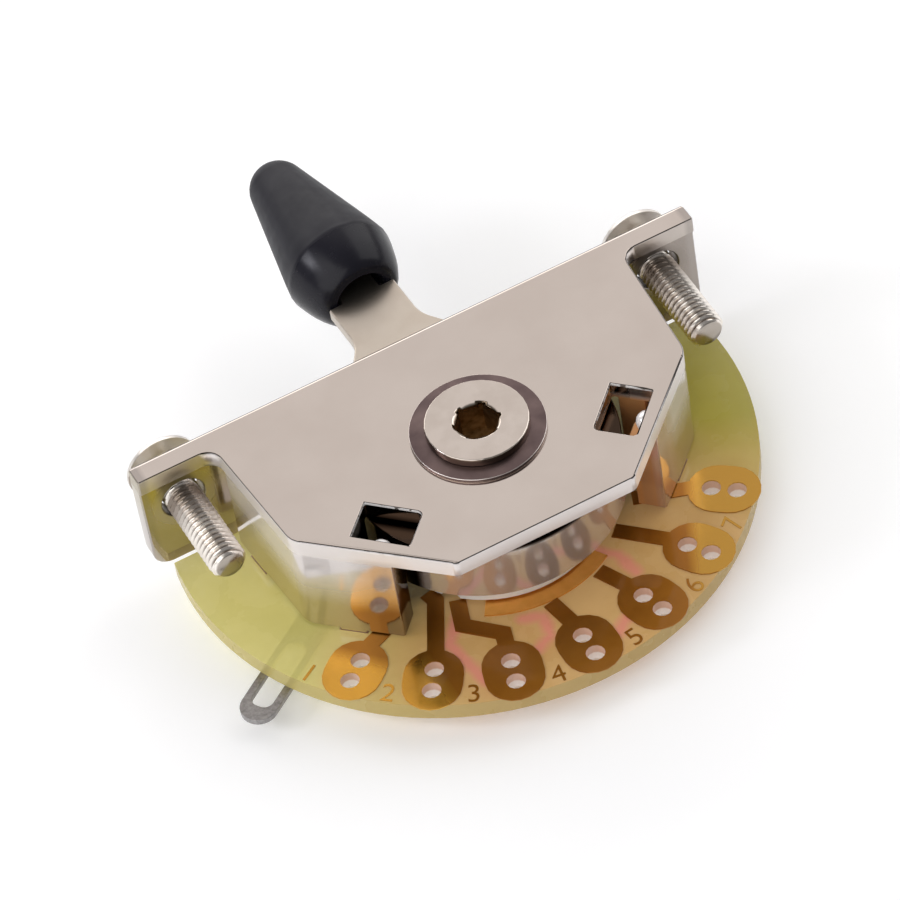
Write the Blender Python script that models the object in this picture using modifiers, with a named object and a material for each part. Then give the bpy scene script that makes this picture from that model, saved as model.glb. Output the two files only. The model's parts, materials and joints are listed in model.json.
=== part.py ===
"""Guitar pickup selector switch with a lever, a rotor and a printed board with seven solder pads.

The pivot axis is the world Z axis. X runs along the back edge of the bracket, Y points to the
lever's tip, and z = 0 is the surface that the switch rests on, with the board side down.
"""
import math

import bmesh
import bpy
from mathutils import Matrix

MM = 0.001

# Heights of the stack, from the resting surface up
UNDERSIDE_GAP = 1.8 * MM
BOARD_THICKNESS = 1.5 * MM
DECK_HEIGHT = 9.9 * MM
SHEET = 1.6 * MM
BOARD_TOP = UNDERSIDE_GAP + BOARD_THICKNESS
DECK_TOP = BOARD_TOP + DECK_HEIGHT
DECK_BOTTOM = DECK_TOP - SHEET

# Clearances
FIT_GAP = 0.3 * MM
SLIDE_GAP = 0.02 * MM
SKIRT_GAP = 0.16 * MM
SLOT_GAP = 0.05 * MM

# Bracket outline seen from above
BACK_Y = 11.49 * MM
EAR_DEPTH = 1.84 * MM
SPRING_ROOM = 5.46 * MM
SIDE_TAPER = 0.8 * MM
SLANT_CLEARANCE = 2.28 * MM
SLANT_DIRECTION = -46.58
NECK_RADIUS = 1.3 * MM
SIDE_CORNER_RADIUS = 2.0 * MM
NOSE_RADIUS = 0.8 * MM
BEND_ROUND = 0.12 * MM

# Skirt walls, returns and tenons
SKIRT_BACK_Y = 8.3 * MM
SKIRT_RUN = 7.7 * MM
RETURN_LENGTH = 2.3 * MM
TENON_LENGTH = 2.2 * MM
TENON_SIDE_Y = 5.6 * MM
TENON_FRONT_RUN = 3.6 * MM

# Ear flanges and mounting screws
FLANGE_NECK = 0.24 * MM
FLANGE_DROP = 10.3 * MM
FLANGE_CORNER = 1.5 * MM
BEND_OUTER = 0.4 * MM
SCREW_SIDE_ROOM = 2.99 * MM
EAR_RIM = 3.35 * MM
MOUNT_DROP = 4.08 * MM
SCREW_RADIUS = 1.5 * MM
SCREW_TIP_Y = 1.95 * MM
SCREW_CHAMFER = 0.4 * MM
HEAD_STANDOFF = 2.05 * MM
HEAD_RADIUS = 2.9 * MM
HEAD_SIDE = 0.3 * MM
HEAD_DOME = 1.25 * MM
RECESS_WIDTH = 0.75 * MM
RECESS_SPAN = 3.4 * MM
RECESS_DEPTH = 1.2 * MM

# Windows and their bent flaps
WINDOW_BACK = 6.35 * MM
WINDOW_LENGTH = 4.6 * MM
WINDOW_RIM = 0.99 * MM
WINDOW_CORNER = 0.4 * MM
WINDOW_RELIEF = 0.3 * MM
FLAP_SIDE_GAP = 0.42 * MM
FLAP_DRUM_GAP = 0.36 * MM
FLAP_WALL_GAP = 0.17 * MM
NIB_RADIUS = 0.87 * MM
NIB_INSET = 0.07 * MM

# Pivot screw, washers and nut
PIVOT_RADIUS = 3.0 * MM
FLANGE_RADIUS = 4.02 * MM
FLANGE_THICKNESS = 0.7 * MM
FLANGE_LIFT = 0.46 * MM
SOCKET_FLATS = 3.2 * MM
SOCKET_DEPTH = 3.0 * MM
SOCKET_CHAMFER = 0.25 * MM
THREAD_RADIUS = 2.0 * MM
SPRING_WASHER_RADIUS = 5.24 * MM
SPRING_WASHER_THICKNESS = 0.3 * MM
SPRING_WASHER_DISH = 0.12 * MM
SLIP_WASHER_RADIUS = 6.2 * MM
SLIP_WASHER_THICKNESS = 0.3 * MM
LOCK_WASHER_THICKNESS = 0.3 * MM
LOCK_WASHER_RADIUS = 3.6 * MM
NUT_FLATS = 6.4 * MM

# Lever stamping with its drawn rim
LEVER_SHEET = 1.1 * MM
DRUM_RADIUS = 10.6 * MM
RIM_THICKNESS = 0.8 * MM
RIM_DROP = 4.95 * MM
RIM_END_RELIEF = 5.0
BLADE_HALF_WIDTH = 2.85 * MM
BLADE_FLARE_Y = 15.5 * MM
BLADE_FLARE_RADIUS = 3.0 * MM
BLADE_SHOULDER_Y = 18.85 * MM
TANG_HALF_WIDTH = 1.65 * MM
TANG_LENGTH = 7.0 * MM
LEVER_REST_ANGLE = 1.4
LEVER_EDGE_ROUND = 0.12 * MM

# Lever knob
KNOB_RIM_RADIUS = 2.75 * MM
KNOB_BORE_RADIUS = 2.05 * MM
KNOB_BORE_DEPTH = 8.0 * MM
KNOB_SHOULDER_RUN = 3.9 * MM
KNOB_RADIUS = 4.47 * MM
KNOB_TAPER_RUN = 9.9 * MM
KNOB_TIP_RADIUS = 2.36 * MM
KNOB_SEAT_GAP = 0.1 * MM
KNOB_SIDE_PLAY = 0.2 * MM

# Plastic rotor, detents and wipers
ROTOR_RADIUS = 8.65 * MM
ROTOR_FLOOR_GAP = 0.3 * MM
DETENT_ANGLE = -12.0
DETENT_STEP = 14.0
DETENT_COUNT = 5
DETENT_GROOVE = 0.35 * MM
NOTCH_ROOF = 0.05 * MM
BALL_RADIUS = 1.05 * MM
BALL_CLEARANCE = 0.15 * MM
SPRING_THICKNESS = 0.25 * MM
SPRING_HEIGHT = 1.9 * MM
SPRING_WALL_GAP = 0.1 * MM
SPRING_FOOT = 4.0 * MM
# The leaf from its wall to past the ball, as shares of the way back to the wall
SPRING_SWEEP = [(0.87, 0.78), (0.47, 0.42), (0.1, 0.17), (0.0, 0.0), (0.03, -0.17), (0.16, -0.28)]
WIPER_ANGLES = (40.0, 160.0, 280.0)
WIPER_RADIUS = 6.4 * MM
WIPER_WIDTH = 1.6 * MM
WIPER_THICKNESS = 0.2 * MM
WIPER_LENGTH = 5.4 * MM
POCKET_DEPTH = 1.7 * MM

# Board, copper and ground lug
BOARD_RADIUS = 23.08 * MM
BOARD_CENTRE_Y = 5.47 * MM
COPPER = 0.1 * MM
PAD_COUNT = 7
PAD_PITCH = 16.8
PAD_EDGE_ROOM = 3.41 * MM
PAD_HOLE_SPACING = 2.0 * MM
PAD_HOLE_RADIUS = 0.75 * MM
PAD_WIDTH = 4.6 * MM
PAD_LENGTH = 5.7 * MM
TRACE_WIDTH = 1.3 * MM
COPPER_GAP = 0.05 * MM
OUTER_TRACK_RADIUS = 10.0 * MM
OUTER_TRACK_WIDTH = 1.9 * MM
OUTER_TRACK_START = -122.0
OUTER_TRACK_END = -58.0
COMMON_RING_INNER = 4.4 * MM
COMMON_RING_OUTER = 7.2 * MM
LUG_ANGLE = 214.0
LUG_OFFSET = 8.45 * MM
LUG_INNER_END = 10.6 * MM
LUG_OUTER_END = 23.7 * MM
LUG_WIDTH = 2.93 * MM
LUG_SLOT_WIDTH = 1.77 * MM
LUG_SLOT_LENGTH = 6.4 * MM
LUG_THICKNESS = 0.5 * MM
LUG_RIVET_RUN = 11.6 * MM
RIVET_RADIUS = 0.6 * MM
RIVET_HEAD_RADIUS = 0.9 * MM
RIVET_HEAD = 0.3 * MM

# Heights that follow from the sizes above
LEVER_TOP = DECK_BOTTOM - SLIP_WASHER_THICKNESS
LEVER_BOTTOM = LEVER_TOP - LEVER_SHEET
RIM_BOTTOM = LEVER_TOP - RIM_DROP
ROTOR_BOTTOM = BOARD_TOP + ROTOR_FLOOR_GAP
BALL_Z = (ROTOR_BOTTOM + RIM_BOTTOM) / 2.0

# Plan sizes that follow from the drum, with screws at the standard 41.3 mm spacing
BODY_HALF_WIDTH = DRUM_RADIUS + SPRING_ROOM + SHEET
SIDE_CORNER_X = BODY_HALF_WIDTH - SIDE_TAPER
SLANT_X = math.cos(math.radians(SLANT_DIRECTION))
SLANT_Y = math.sin(math.radians(SLANT_DIRECTION))
SLANT_DISTANCE = DRUM_RADIUS + SLANT_CLEARANCE
SIDE_CORNER_Y = (SLANT_DISTANCE - SLANT_X * SIDE_CORNER_X) / SLANT_Y
NOSE_Y = -DRUM_RADIUS
NOSE_X = (SLANT_DISTANCE - SLANT_Y * NOSE_Y) / SLANT_X
FLANGE_START_X = BODY_HALF_WIDTH + FLANGE_NECK
MOUNT_SPACING = 2.0 * (BODY_HALF_WIDTH + SCREW_SIDE_ROOM)
EAR_END_X = MOUNT_SPACING / 2.0 + EAR_RIM
FLAP_INNER = math.sqrt((DRUM_RADIUS + FLAP_DRUM_GAP) ** 2 - WINDOW_BACK ** 2)
FLAP_WIDTH = SLANT_DISTANCE - SHEET - FLAP_WALL_GAP - FLAP_INNER
WINDOW_INNER = FLAP_INNER - FLAP_SIDE_GAP
WINDOW_WIDTH = SLANT_DISTANCE - WINDOW_RIM - WINDOW_INNER
PAD_INNER_HOLE = BOARD_RADIUS - PAD_EDGE_ROOM

# How far a cutter runs on past what it cuts
CUT_MARGIN = 2.0 * MM

# Fineness of the round shapes
FINE_STEPS = 64
ROUND_STEPS = 32
SMALL_STEPS = 16
HOLE_STEPS = 14

# Curves are drawn this much larger and then brought back, which keeps their filling exact
DRAW_SCALE = 1000.0
WELD = 0.002

PART_COLLECTION = "Pickup selector switch"
TOOL_COLLECTION = "Cutters"


def at(x, y, z):
    """A plain placement."""
    return Matrix.Translation((x, y, z))


def start_clean():
    """Empty the scene and make the two collections."""
    for old in list(bpy.data.objects):
        bpy.data.objects.remove(old, do_unlink=True)
    for name in (PART_COLLECTION, TOOL_COLLECTION):
        group = bpy.data.collections.get(name)
        if group is None:
            group = bpy.data.collections.new(name)
            bpy.context.scene.collection.children.link(group)


def make_material(name, colour, roughness, metallic):
    """A Principled material in one colour."""
    material = bpy.data.materials.new(name)
    material.use_nodes = True
    shader = material.node_tree.nodes["Principled BSDF"]
    shader.inputs["Base Color"].default_value = (*colour, 1.0)
    shader.inputs["Roughness"].default_value = roughness
    shader.inputs["Metallic"].default_value = metallic
    material.diffuse_color = (*colour, 1.0)
    return material


def place(name, mesh, matrix=None):
    """Put a visible piece into the part's collection."""
    piece = bpy.data.objects.new(name, mesh)
    bpy.data.collections[PART_COLLECTION].objects.link(piece)
    if matrix is not None:
        piece.matrix_world = matrix
    return piece


def place_tool(name, mesh, matrix=None):
    """Put a cutter or an operand into the hidden collection."""
    tool = bpy.data.objects.new(name, mesh)
    bpy.data.collections[TOOL_COLLECTION].objects.link(tool)
    if matrix is not None:
        tool.matrix_world = matrix
    tool.hide_render = True
    tool.display_type = "WIRE"
    return tool


def finish(piece, material, smooth_angle=30.0):
    """Give a piece its material and its smooth shading."""
    piece.data.materials.clear()
    piece.data.materials.append(material)
    piece.data.shade_smooth()
    piece.data.set_sharp_from_angle(angle=math.radians(smooth_angle))


def combine(piece, tool, operation):
    """Add a Boolean modifier with the exact solver."""
    step = piece.modifiers.new(f"{operation.lower()} {tool.name}", "BOOLEAN")
    step.operation = operation
    step.solver = "EXACT"
    step.object = tool


def round_edges(piece, width, segments=1, angle=35.0):
    """Round every edge that is sharper than the angle."""
    step = piece.modifiers.new("rounded edges", "BEVEL")
    step.width = width
    step.segments = segments
    step.limit_method = "ANGLE"
    step.angle_limit = math.radians(angle)
    step.use_clamp_overlap = False


def hang_on(piece, pivot):
    """Let a piece and its cutters turn with the pivot."""
    piece.parent = pivot
    for step in piece.modifiers:
        if step.type == "BOOLEAN":
            step.object.parent = pivot


def circle(radius, steps, centre=(0.0, 0.0)):
    """Points round a full circle."""
    turns = [math.tau * i / steps for i in range(steps)]
    return [(centre[0] + radius * math.cos(t), centre[1] + radius * math.sin(t)) for t in turns]


def arc(radius, start, end, steps, centre=(0.0, 0.0)):
    """Points on an arc between two angles in degrees, with both ends."""
    points = []
    for i in range(steps + 1):
        turn = math.radians(start + (end - start) * i / steps)
        points.append((centre[0] + radius * math.cos(turn), centre[1] + radius * math.sin(turn)))
    return points


def rounded(corners, steps=6):
    """A closed outline from (x, y, radius) corners, each rounded by its own radius."""
    outline = []
    count = len(corners)
    for i, (x, y, radius) in enumerate(corners):
        before = corners[i - 1]
        after = corners[(i + 1) % count]
        if radius <= 0.0:
            outline.append((x, y))
            continue
        to_before = math.atan2(before[1] - y, before[0] - x)
        to_after = math.atan2(after[1] - y, after[0] - x)
        opening = (to_after - to_before + math.pi) % math.tau - math.pi
        reach = radius / abs(math.tan(opening / 2.0))
        bisector = to_before + opening / 2.0
        depth = radius / abs(math.sin(opening / 2.0))
        cx = x + depth * math.cos(bisector)
        cy = y + depth * math.sin(bisector)
        start = (x + reach * math.cos(to_before), y + reach * math.sin(to_before))
        end = (x + reach * math.cos(to_after), y + reach * math.sin(to_after))
        a0 = math.atan2(start[1] - cy, start[0] - cx)
        a1 = math.atan2(end[1] - cy, end[0] - cx)
        sweep = (a1 - a0 + math.pi) % math.tau - math.pi
        for k in range(steps + 1):
            turn = a0 + sweep * k / steps
            outline.append((cx + radius * math.cos(turn), cy + radius * math.sin(turn)))
    return outline


def offset_path(points, distance):
    """An open path moved sideways to its left, with mitred corners."""
    moved = []
    for i, (x, y) in enumerate(points):
        normals = []
        if i > 0:
            dx, dy = x - points[i - 1][0], y - points[i - 1][1]
            length = math.hypot(dx, dy)
            normals.append((-dy / length, dx / length))
        if i < len(points) - 1:
            dx, dy = points[i + 1][0] - x, points[i + 1][1] - y
            length = math.hypot(dx, dy)
            normals.append((-dy / length, dx / length))
        nx = sum(n[0] for n in normals) / len(normals)
        ny = sum(n[1] for n in normals) / len(normals)
        scale = distance / (nx * nx + ny * ny)
        moved.append((x + nx * scale, y + ny * scale))
    return moved


def mirrored(points):
    """The same outline on the other side of the YZ plane, still in the same turning sense."""
    return [(-x, y) for x, y in reversed(points)]


def flat_mesh(name, loops, bottom, top):
    """A flat piece from closed outlines, of which the inner ones are holes."""
    curve = bpy.data.curves.new(name, "CURVE")
    curve.dimensions = "2D"
    curve.fill_mode = "BOTH"
    curve.extrude = DRAW_SCALE * (top - bottom) / 2.0
    for loop in loops:
        spline = curve.splines.new("POLY")
        spline.points.add(len(loop) - 1)
        for point, (x, y) in zip(spline.points, loop):
            point.co = (DRAW_SCALE * x, DRAW_SCALE * y, 0.0, 1.0)
        spline.use_cyclic_u = True
    drawing = bpy.data.objects.new(name, curve)
    bpy.context.scene.collection.objects.link(drawing)
    depsgraph = bpy.context.evaluated_depsgraph_get()
    mesh = bpy.data.meshes.new_from_object(drawing.evaluated_get(depsgraph))
    bpy.data.objects.remove(drawing, do_unlink=True)
    bpy.data.curves.remove(curve)
    shape = bmesh.new()
    shape.from_mesh(mesh)
    bmesh.ops.remove_doubles(shape, verts=shape.verts, dist=WELD)
    slivers = [face for face in shape.faces if face.calc_area() < WELD * WELD]
    longest = [max(face.edges, key=lambda edge: edge.calc_length()) for face in slivers]
    bmesh.ops.dissolve_edges(shape, edges=longest, use_verts=False)
    shape.normal_update()
    inside = [edge for edge in shape.edges if all(abs(face.normal.z) > 0.5 for face in edge.link_faces)]
    bmesh.ops.dissolve_edges(shape, edges=inside, use_verts=False)
    bmesh.ops.recalc_face_normals(shape, faces=shape.faces)
    shape.to_mesh(mesh)
    shape.free()
    mesh.transform(at(0.0, 0.0, (bottom + top) / 2.0) @ Matrix.Scale(1.0 / DRAW_SCALE, 4))
    mesh.name = name
    return mesh


def turned_mesh(name, profile):
    """The half section of a turned piece, as (radius, height) points from the top down its outside."""
    mesh = bpy.data.meshes.new(name)
    points = [(r, 0.0, z) for r, z in profile]
    edges = [(i, i + 1) for i in range(len(points) - 1)]
    if profile[0][0] > 0.0:
        edges.append((len(points) - 1, 0))
    mesh.from_pydata(points, edges, [])
    return mesh


def turn(piece, steps):
    """Spin a half section round its own Z axis."""
    step = piece.modifiers.new("turned", "SCREW")
    step.axis = "Z"
    step.angle = math.tau
    step.steps = steps
    step.render_steps = steps
    step.use_merge_vertices = True
    step.merge_threshold = 0.00001
    step.use_smooth_shade = True


def prism_mesh(name, radius, height, sides, spin=0.0):
    """An upright prism or cylinder about the origin."""
    shape = bmesh.new()
    bmesh.ops.create_cone(shape, cap_ends=True, segments=sides, radius1=radius, radius2=radius,
                          depth=height, matrix=Matrix.Rotation(spin, 4, "Z"))
    mesh = bpy.data.meshes.new(name)
    shape.to_mesh(mesh)
    shape.free()
    return mesh


def box_mesh(name, size):
    """A box about the origin."""
    shape = bmesh.new()
    bmesh.ops.create_cube(shape, size=1.0, matrix=Matrix.Diagonal((*size, 1.0)))
    mesh = bpy.data.meshes.new(name)
    shape.to_mesh(mesh)
    shape.free()
    return mesh


def ball_mesh(name, radius):
    """A ball about the origin."""
    shape = bmesh.new()
    bmesh.ops.create_uvsphere(shape, u_segments=SMALL_STEPS, v_segments=SMALL_STEPS // 2, radius=radius)
    mesh = bpy.data.meshes.new(name)
    shape.to_mesh(mesh)
    shape.free()
    return mesh


def ribbon_mesh(name, path, bottom, top):
    """An open upright surface along a path, ready for a Solidify modifier."""
    mesh = bpy.data.meshes.new(name)
    low = [(x, y, bottom) for x, y in path]
    high = [(x, y, top) for x, y in path]
    count = len(path)
    faces = [(i, i + 1, count + i + 1, count + i) for i in range(count - 1)]
    mesh.from_pydata(low + high, [], faces)
    return mesh


def thicken(piece, thickness):
    """Give an open surface its even thickness, half to each side."""
    step = piece.modifiers.new("thickness", "SOLIDIFY")
    step.thickness = thickness
    step.offset = 0.0
    step.use_even_offset = True


LYING_ALONG_Y = Matrix.Rotation(math.radians(-90.0), 4, "X")
SECTION_ALONG_X = Matrix(((0.0, 0.0, 1.0, 0.0), (1.0, 0.0, 0.0, 0.0),
                          (0.0, 1.0, 0.0, 0.0), (0.0, 0.0, 0.0, 1.0)))
SECTION_ALONG_Y = Matrix.Rotation(math.radians(90.0), 4, "X")


def on_slant(run, depth):
    """A point beside the right slanted edge: a run from the side corner and a depth inward."""
    return (SIDE_CORNER_X + SLANT_Y * run - SLANT_X * depth,
            SIDE_CORNER_Y - SLANT_X * run - SLANT_Y * depth)


def side_x(y):
    """The body's right side edge at a given y."""
    share = (y - SIDE_CORNER_Y) / (BACK_Y - EAR_DEPTH - SIDE_CORNER_Y)
    return SIDE_CORNER_X + (BODY_HALF_WIDTH - SIDE_CORNER_X) * share


def bracket_plan():
    """The bracket seen from above, with its ears run on past their true ends."""
    ear_front = BACK_Y - EAR_DEPTH
    far_x = EAR_END_X + CUT_MARGIN
    far_y = BACK_Y + CUT_MARGIN
    right = [(NOSE_X, NOSE_Y, NOSE_RADIUS), (SIDE_CORNER_X, SIDE_CORNER_Y, SIDE_CORNER_RADIUS),
             (BODY_HALF_WIDTH, ear_front, NECK_RADIUS), (far_x, ear_front, 0.0), (far_x, far_y, 0.0)]
    left = [(-x, y, radius) for x, y, radius in reversed(right)]
    return rounded(right + left)


def bracket_side():
    """The bracket seen from its end: top face, bend over the ears, and the floor that it reaches."""
    bend = arc(BEND_OUTER, 0.0, 90.0, 5, (BACK_Y - BEND_OUTER, DECK_TOP - BEND_OUTER))
    front = NOSE_Y - CUT_MARGIN
    flange_bottom = DECK_TOP - FLANGE_DROP
    step_y = SKIRT_BACK_Y + (BACK_Y - SHEET - SKIRT_BACK_Y) / 2.0
    low = [(front, 0.0), (step_y, 0.0), (step_y, flange_bottom), (BACK_Y, flange_bottom)]
    return low + bend + [(front, DECK_TOP)]


def hollow_plan():
    """All that is open below the plate: the space round the skirts, their returns and the flanges."""
    outer = [(side_x(SKIRT_BACK_Y), SKIRT_BACK_Y), (SIDE_CORNER_X, SIDE_CORNER_Y), on_slant(SKIRT_RUN, 0.0)]
    back, corner, _ = offset_path(outer, -SHEET)
    inner_y = BACK_Y - SHEET
    far_x = EAR_END_X + CUT_MARGIN
    right = [(FLANGE_START_X, BACK_Y + CUT_MARGIN, 0.0), (FLANGE_START_X, inner_y, 0.0),
             (far_x, inner_y, 0.0),
             (far_x, SKIRT_BACK_Y, 0.0), (side_x(SKIRT_BACK_Y), SKIRT_BACK_Y, 0.0), (*back, 0.0),
             (*corner, SIDE_CORNER_RADIUS - SHEET), (*on_slant(SKIRT_RUN - SHEET, SHEET), 0.0),
             (*on_slant(SKIRT_RUN - SHEET, RETURN_LENGTH), 0.0), (*on_slant(SKIRT_RUN, RETURN_LENGTH), 0.0),
             (*on_slant(SKIRT_RUN, -CUT_MARGIN), 0.0), (NOSE_X, NOSE_Y - 2.0 * CUT_MARGIN, 0.0)]
    left = [(-x, y, radius) for x, y, radius in reversed(right)]
    return rounded(right + left)


def window_point(side, across, along):
    """A point in a window, from its corner next to the rotor and the side, across it and to the front."""
    step = math.sqrt(0.5)
    inner, back = WINDOW_INNER + across, WINDOW_BACK - along
    return (side * step * (inner + back), step * (back - inner))


def window_outline(side):
    """The pierced window, with sharp corners at the flap's bend and the flap's own corners between them."""
    spots = [(0.0, 0.0, 0.0), (FLAP_SIDE_GAP, 0.0, 0.0), (FLAP_SIDE_GAP + FLAP_WIDTH, 0.0, 0.0),
             (WINDOW_WIDTH, 0.0, 0.0), (WINDOW_WIDTH, WINDOW_LENGTH, WINDOW_CORNER),
             (0.0, WINDOW_LENGTH, WINDOW_CORNER)]
    return rounded([(*window_point(side, a, b), r) for a, b, r in spots], 4)


def flap_outline(side, grow=0.0):
    """The flap that is bent down at the window, seen from above."""
    left, right = FLAP_SIDE_GAP - grow, FLAP_SIDE_GAP + FLAP_WIDTH + grow
    spots = [(left, grow), (right, grow), (right, -SHEET - grow), (left, -SHEET - grow)]
    return [window_point(side, a, b) for a, b in spots]


def tenon_spots():
    """Centre, direction and width room of the right tenons, at the middle of the sheet."""
    side_middle = (side_x(TENON_SIDE_Y) - SHEET / 2.0, TENON_SIDE_Y)
    side_turn = math.atan2(BACK_Y - EAR_DEPTH - SIDE_CORNER_Y, BODY_HALF_WIDTH - SIDE_CORNER_X)
    front_middle = on_slant(TENON_FRONT_RUN, SHEET / 2.0)
    return [(side_middle, side_turn), (front_middle, math.atan2(-SLANT_X, SLANT_Y))]


def tenon_outlines(length, thickness):
    """Rectangles on the four tenons, seen from above."""
    outlines = []
    for spot, turn_angle in tenon_spots():
        along = (math.cos(turn_angle) * length / 2.0, math.sin(turn_angle) * length / 2.0)
        across = (-math.sin(turn_angle) * thickness / 2.0, math.cos(turn_angle) * thickness / 2.0)
        signs = [(1, 1), (-1, 1), (-1, -1), (1, -1)]
        outline = [(spot[0] + i * along[0] + j * across[0], spot[1] + i * along[1] + j * across[1])
                   for i, j in signs]
        outlines += [outline, mirrored(outline)]
    return outlines


def corner_cutter(x, z, radius):
    """What is cut away to round a lower outer corner, as an outline in the XZ plane."""
    round_part = arc(radius, 0.0, -90.0, 6, (x - radius, z + radius))
    beyond_x, beyond_z = x + CUT_MARGIN, z - CUT_MARGIN
    return round_part + [(x - radius, beyond_z), (beyond_x, beyond_z), (beyond_x, z + radius)]


def cut(piece, name, loops, bottom, top, matrix=None):
    """Cut a flat outline out of a piece."""
    combine(piece, place_tool(name, flat_mesh(name, loops, bottom, top), matrix), "DIFFERENCE")


def build_bracket(material):
    """The folded steel bracket with ears, skirts, returns, window flaps, nibs and tenons."""
    below, above = -CUT_MARGIN, DECK_TOP + CUT_MARGIN
    skirt_bottom = BOARD_TOP + SKIRT_GAP
    bracket = place("bracket", flat_mesh("bracket", [bracket_plan()], below, above))
    side_mesh = flat_mesh("bracket_side", [bracket_side()], -EAR_END_X, EAR_END_X)
    combine(bracket, place_tool("bracket_side", side_mesh, SECTION_ALONG_X), "INTERSECT")
    flaps = [flap_outline(side) for side in (1, -1)]
    cut(bracket, "hollow", [hollow_plan()] + flaps, below, DECK_BOTTOM)
    width, front, back = EAR_END_X + CUT_MARGIN, NOSE_Y - 3.0 * CUT_MARGIN, SKIRT_BACK_Y + FIT_GAP
    sweep = [(width, front), (width, back), (-width, back), (-width, front)]
    tenons = tenon_outlines(TENON_LENGTH, SHEET + CUT_MARGIN)
    cut(bracket, "under_skirts", [sweep] + tenons, below, skirt_bottom)
    cut(bracket, "pivot_hole", [circle(PIVOT_RADIUS + FIT_GAP, ROUND_STEPS)], DECK_BOTTOM - SHEET, above)
    for side in (1, -1):
        word = "right" if side > 0 else "left"
        under_flap = [flap_outline(side, FLAP_WALL_GAP / 2.0)]
        cut(bracket, f"under_flap_{word}", under_flap, below, DECK_BOTTOM - WINDOW_LENGTH)
        cut(bracket, f"window_{word}", [window_outline(side)], DECK_BOTTOM - WINDOW_RELIEF, above)
        corner = [(side * x, z) for x, z in corner_cutter(EAR_END_X, DECK_TOP - FLANGE_DROP, FLANGE_CORNER)]
        hole_spot = (side * MOUNT_SPACING / 2.0, DECK_TOP - MOUNT_DROP)
        hole = circle(SCREW_RADIUS + FIT_GAP, ROUND_STEPS, hole_spot)
        rear, fore = -BACK_Y - CUT_MARGIN, -SKIRT_BACK_Y
        cut(bracket, f"ear_corner_{word}", [corner], rear, fore, SECTION_ALONG_Y)
        cut(bracket, f"ear_hole_{word}", [hole], rear, fore, SECTION_ALONG_Y)
    for side in (1, -1):
        word = "right" if side > 0 else "left"
        x, y = window_point(side, WINDOW_WIDTH + NIB_INSET, WINDOW_LENGTH / 2.0)
        nib_z = DECK_TOP - NIB_RADIUS - BEND_ROUND
        nib = place_tool(f"nib_{word}", ball_mesh("nib", NIB_RADIUS), at(x, y, nib_z))
        combine(bracket, nib, "UNION")
    round_edges(bracket, BEND_ROUND)
    finish(bracket, material)
    return bracket


def build_mounting_screw(side, material):
    """A machine screw through an ear, with a domed cross-recess head behind it."""
    name = "mounting_screw_right" if side > 0 else "mounting_screw_left"
    length = BACK_Y + HEAD_STANDOFF - SCREW_TIP_Y
    crown = length + HEAD_SIDE + HEAD_DOME
    bulge = (HEAD_RADIUS ** 2 + HEAD_DOME ** 2) / (2.0 * HEAD_DOME)
    lean = math.degrees(math.asin(HEAD_RADIUS / bulge))
    dome = [(x, z) for x, z in arc(bulge, 90.0, 90.0 - lean, 7, (0.0, crown - bulge))]
    dome[0] = (0.0, crown)
    profile = dome + [(HEAD_RADIUS, length), (SCREW_RADIUS, length), (SCREW_RADIUS, SCREW_CHAMFER),
                      (SCREW_RADIUS - SCREW_CHAMFER, 0.0), (0.0, 0.0)]
    place_matrix = at(side * MOUNT_SPACING / 2.0, SCREW_TIP_Y, DECK_TOP - MOUNT_DROP) @ LYING_ALONG_Y
    screw = place(name, turned_mesh(name, profile), place_matrix)
    turn(screw, ROUND_STEPS)
    for number in range(2):
        size = (RECESS_SPAN, RECESS_WIDTH, RECESS_DEPTH * 2.0)
        spin = Matrix.Rotation(math.radians(45.0 + 90.0 * number), 4, "Z")
        matrix = place_matrix @ at(0.0, 0.0, crown) @ spin
        combine(screw, place_tool(f"{name}_recess_{number}", box_mesh("recess", size), matrix), "DIFFERENCE")
    finish(screw, material)
    return screw


def build_pivot_screw(material):
    """The pivot: a wide flange with a hexagonal socket, a smooth shank and a threaded end."""
    top = DECK_TOP + FLANGE_LIFT + FLANGE_THICKNESS
    under = DECK_TOP + FLANGE_LIFT
    edge = 0.12 * MM
    mouth = SOCKET_FLATS / 2.0 / math.cos(math.radians(30.0)) + SOCKET_CHAMFER / 2.0
    profile = [(0.0, top - SOCKET_CHAMFER), (mouth - SOCKET_CHAMFER, top - SOCKET_CHAMFER), (mouth, top),
               (FLANGE_RADIUS - edge, top), (FLANGE_RADIUS, top - edge), (FLANGE_RADIUS, under),
               (PIVOT_RADIUS, under), (PIVOT_RADIUS, BOARD_TOP + SLIDE_GAP),
               (THREAD_RADIUS, BOARD_TOP + SLIDE_GAP), (THREAD_RADIUS, 0.0), (0.0, 0.0)]
    screw = place("pivot_screw", turned_mesh("pivot_screw", profile))
    turn(screw, ROUND_STEPS)
    hexagon = prism_mesh("socket", SOCKET_FLATS / 2.0 / math.cos(math.radians(30.0)), SOCKET_DEPTH * 2.0, 6,
                         math.radians(20.0))
    combine(screw, place_tool("socket", hexagon, at(0.0, 0.0, top)), "DIFFERENCE")
    finish(screw, material)
    return screw


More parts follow.
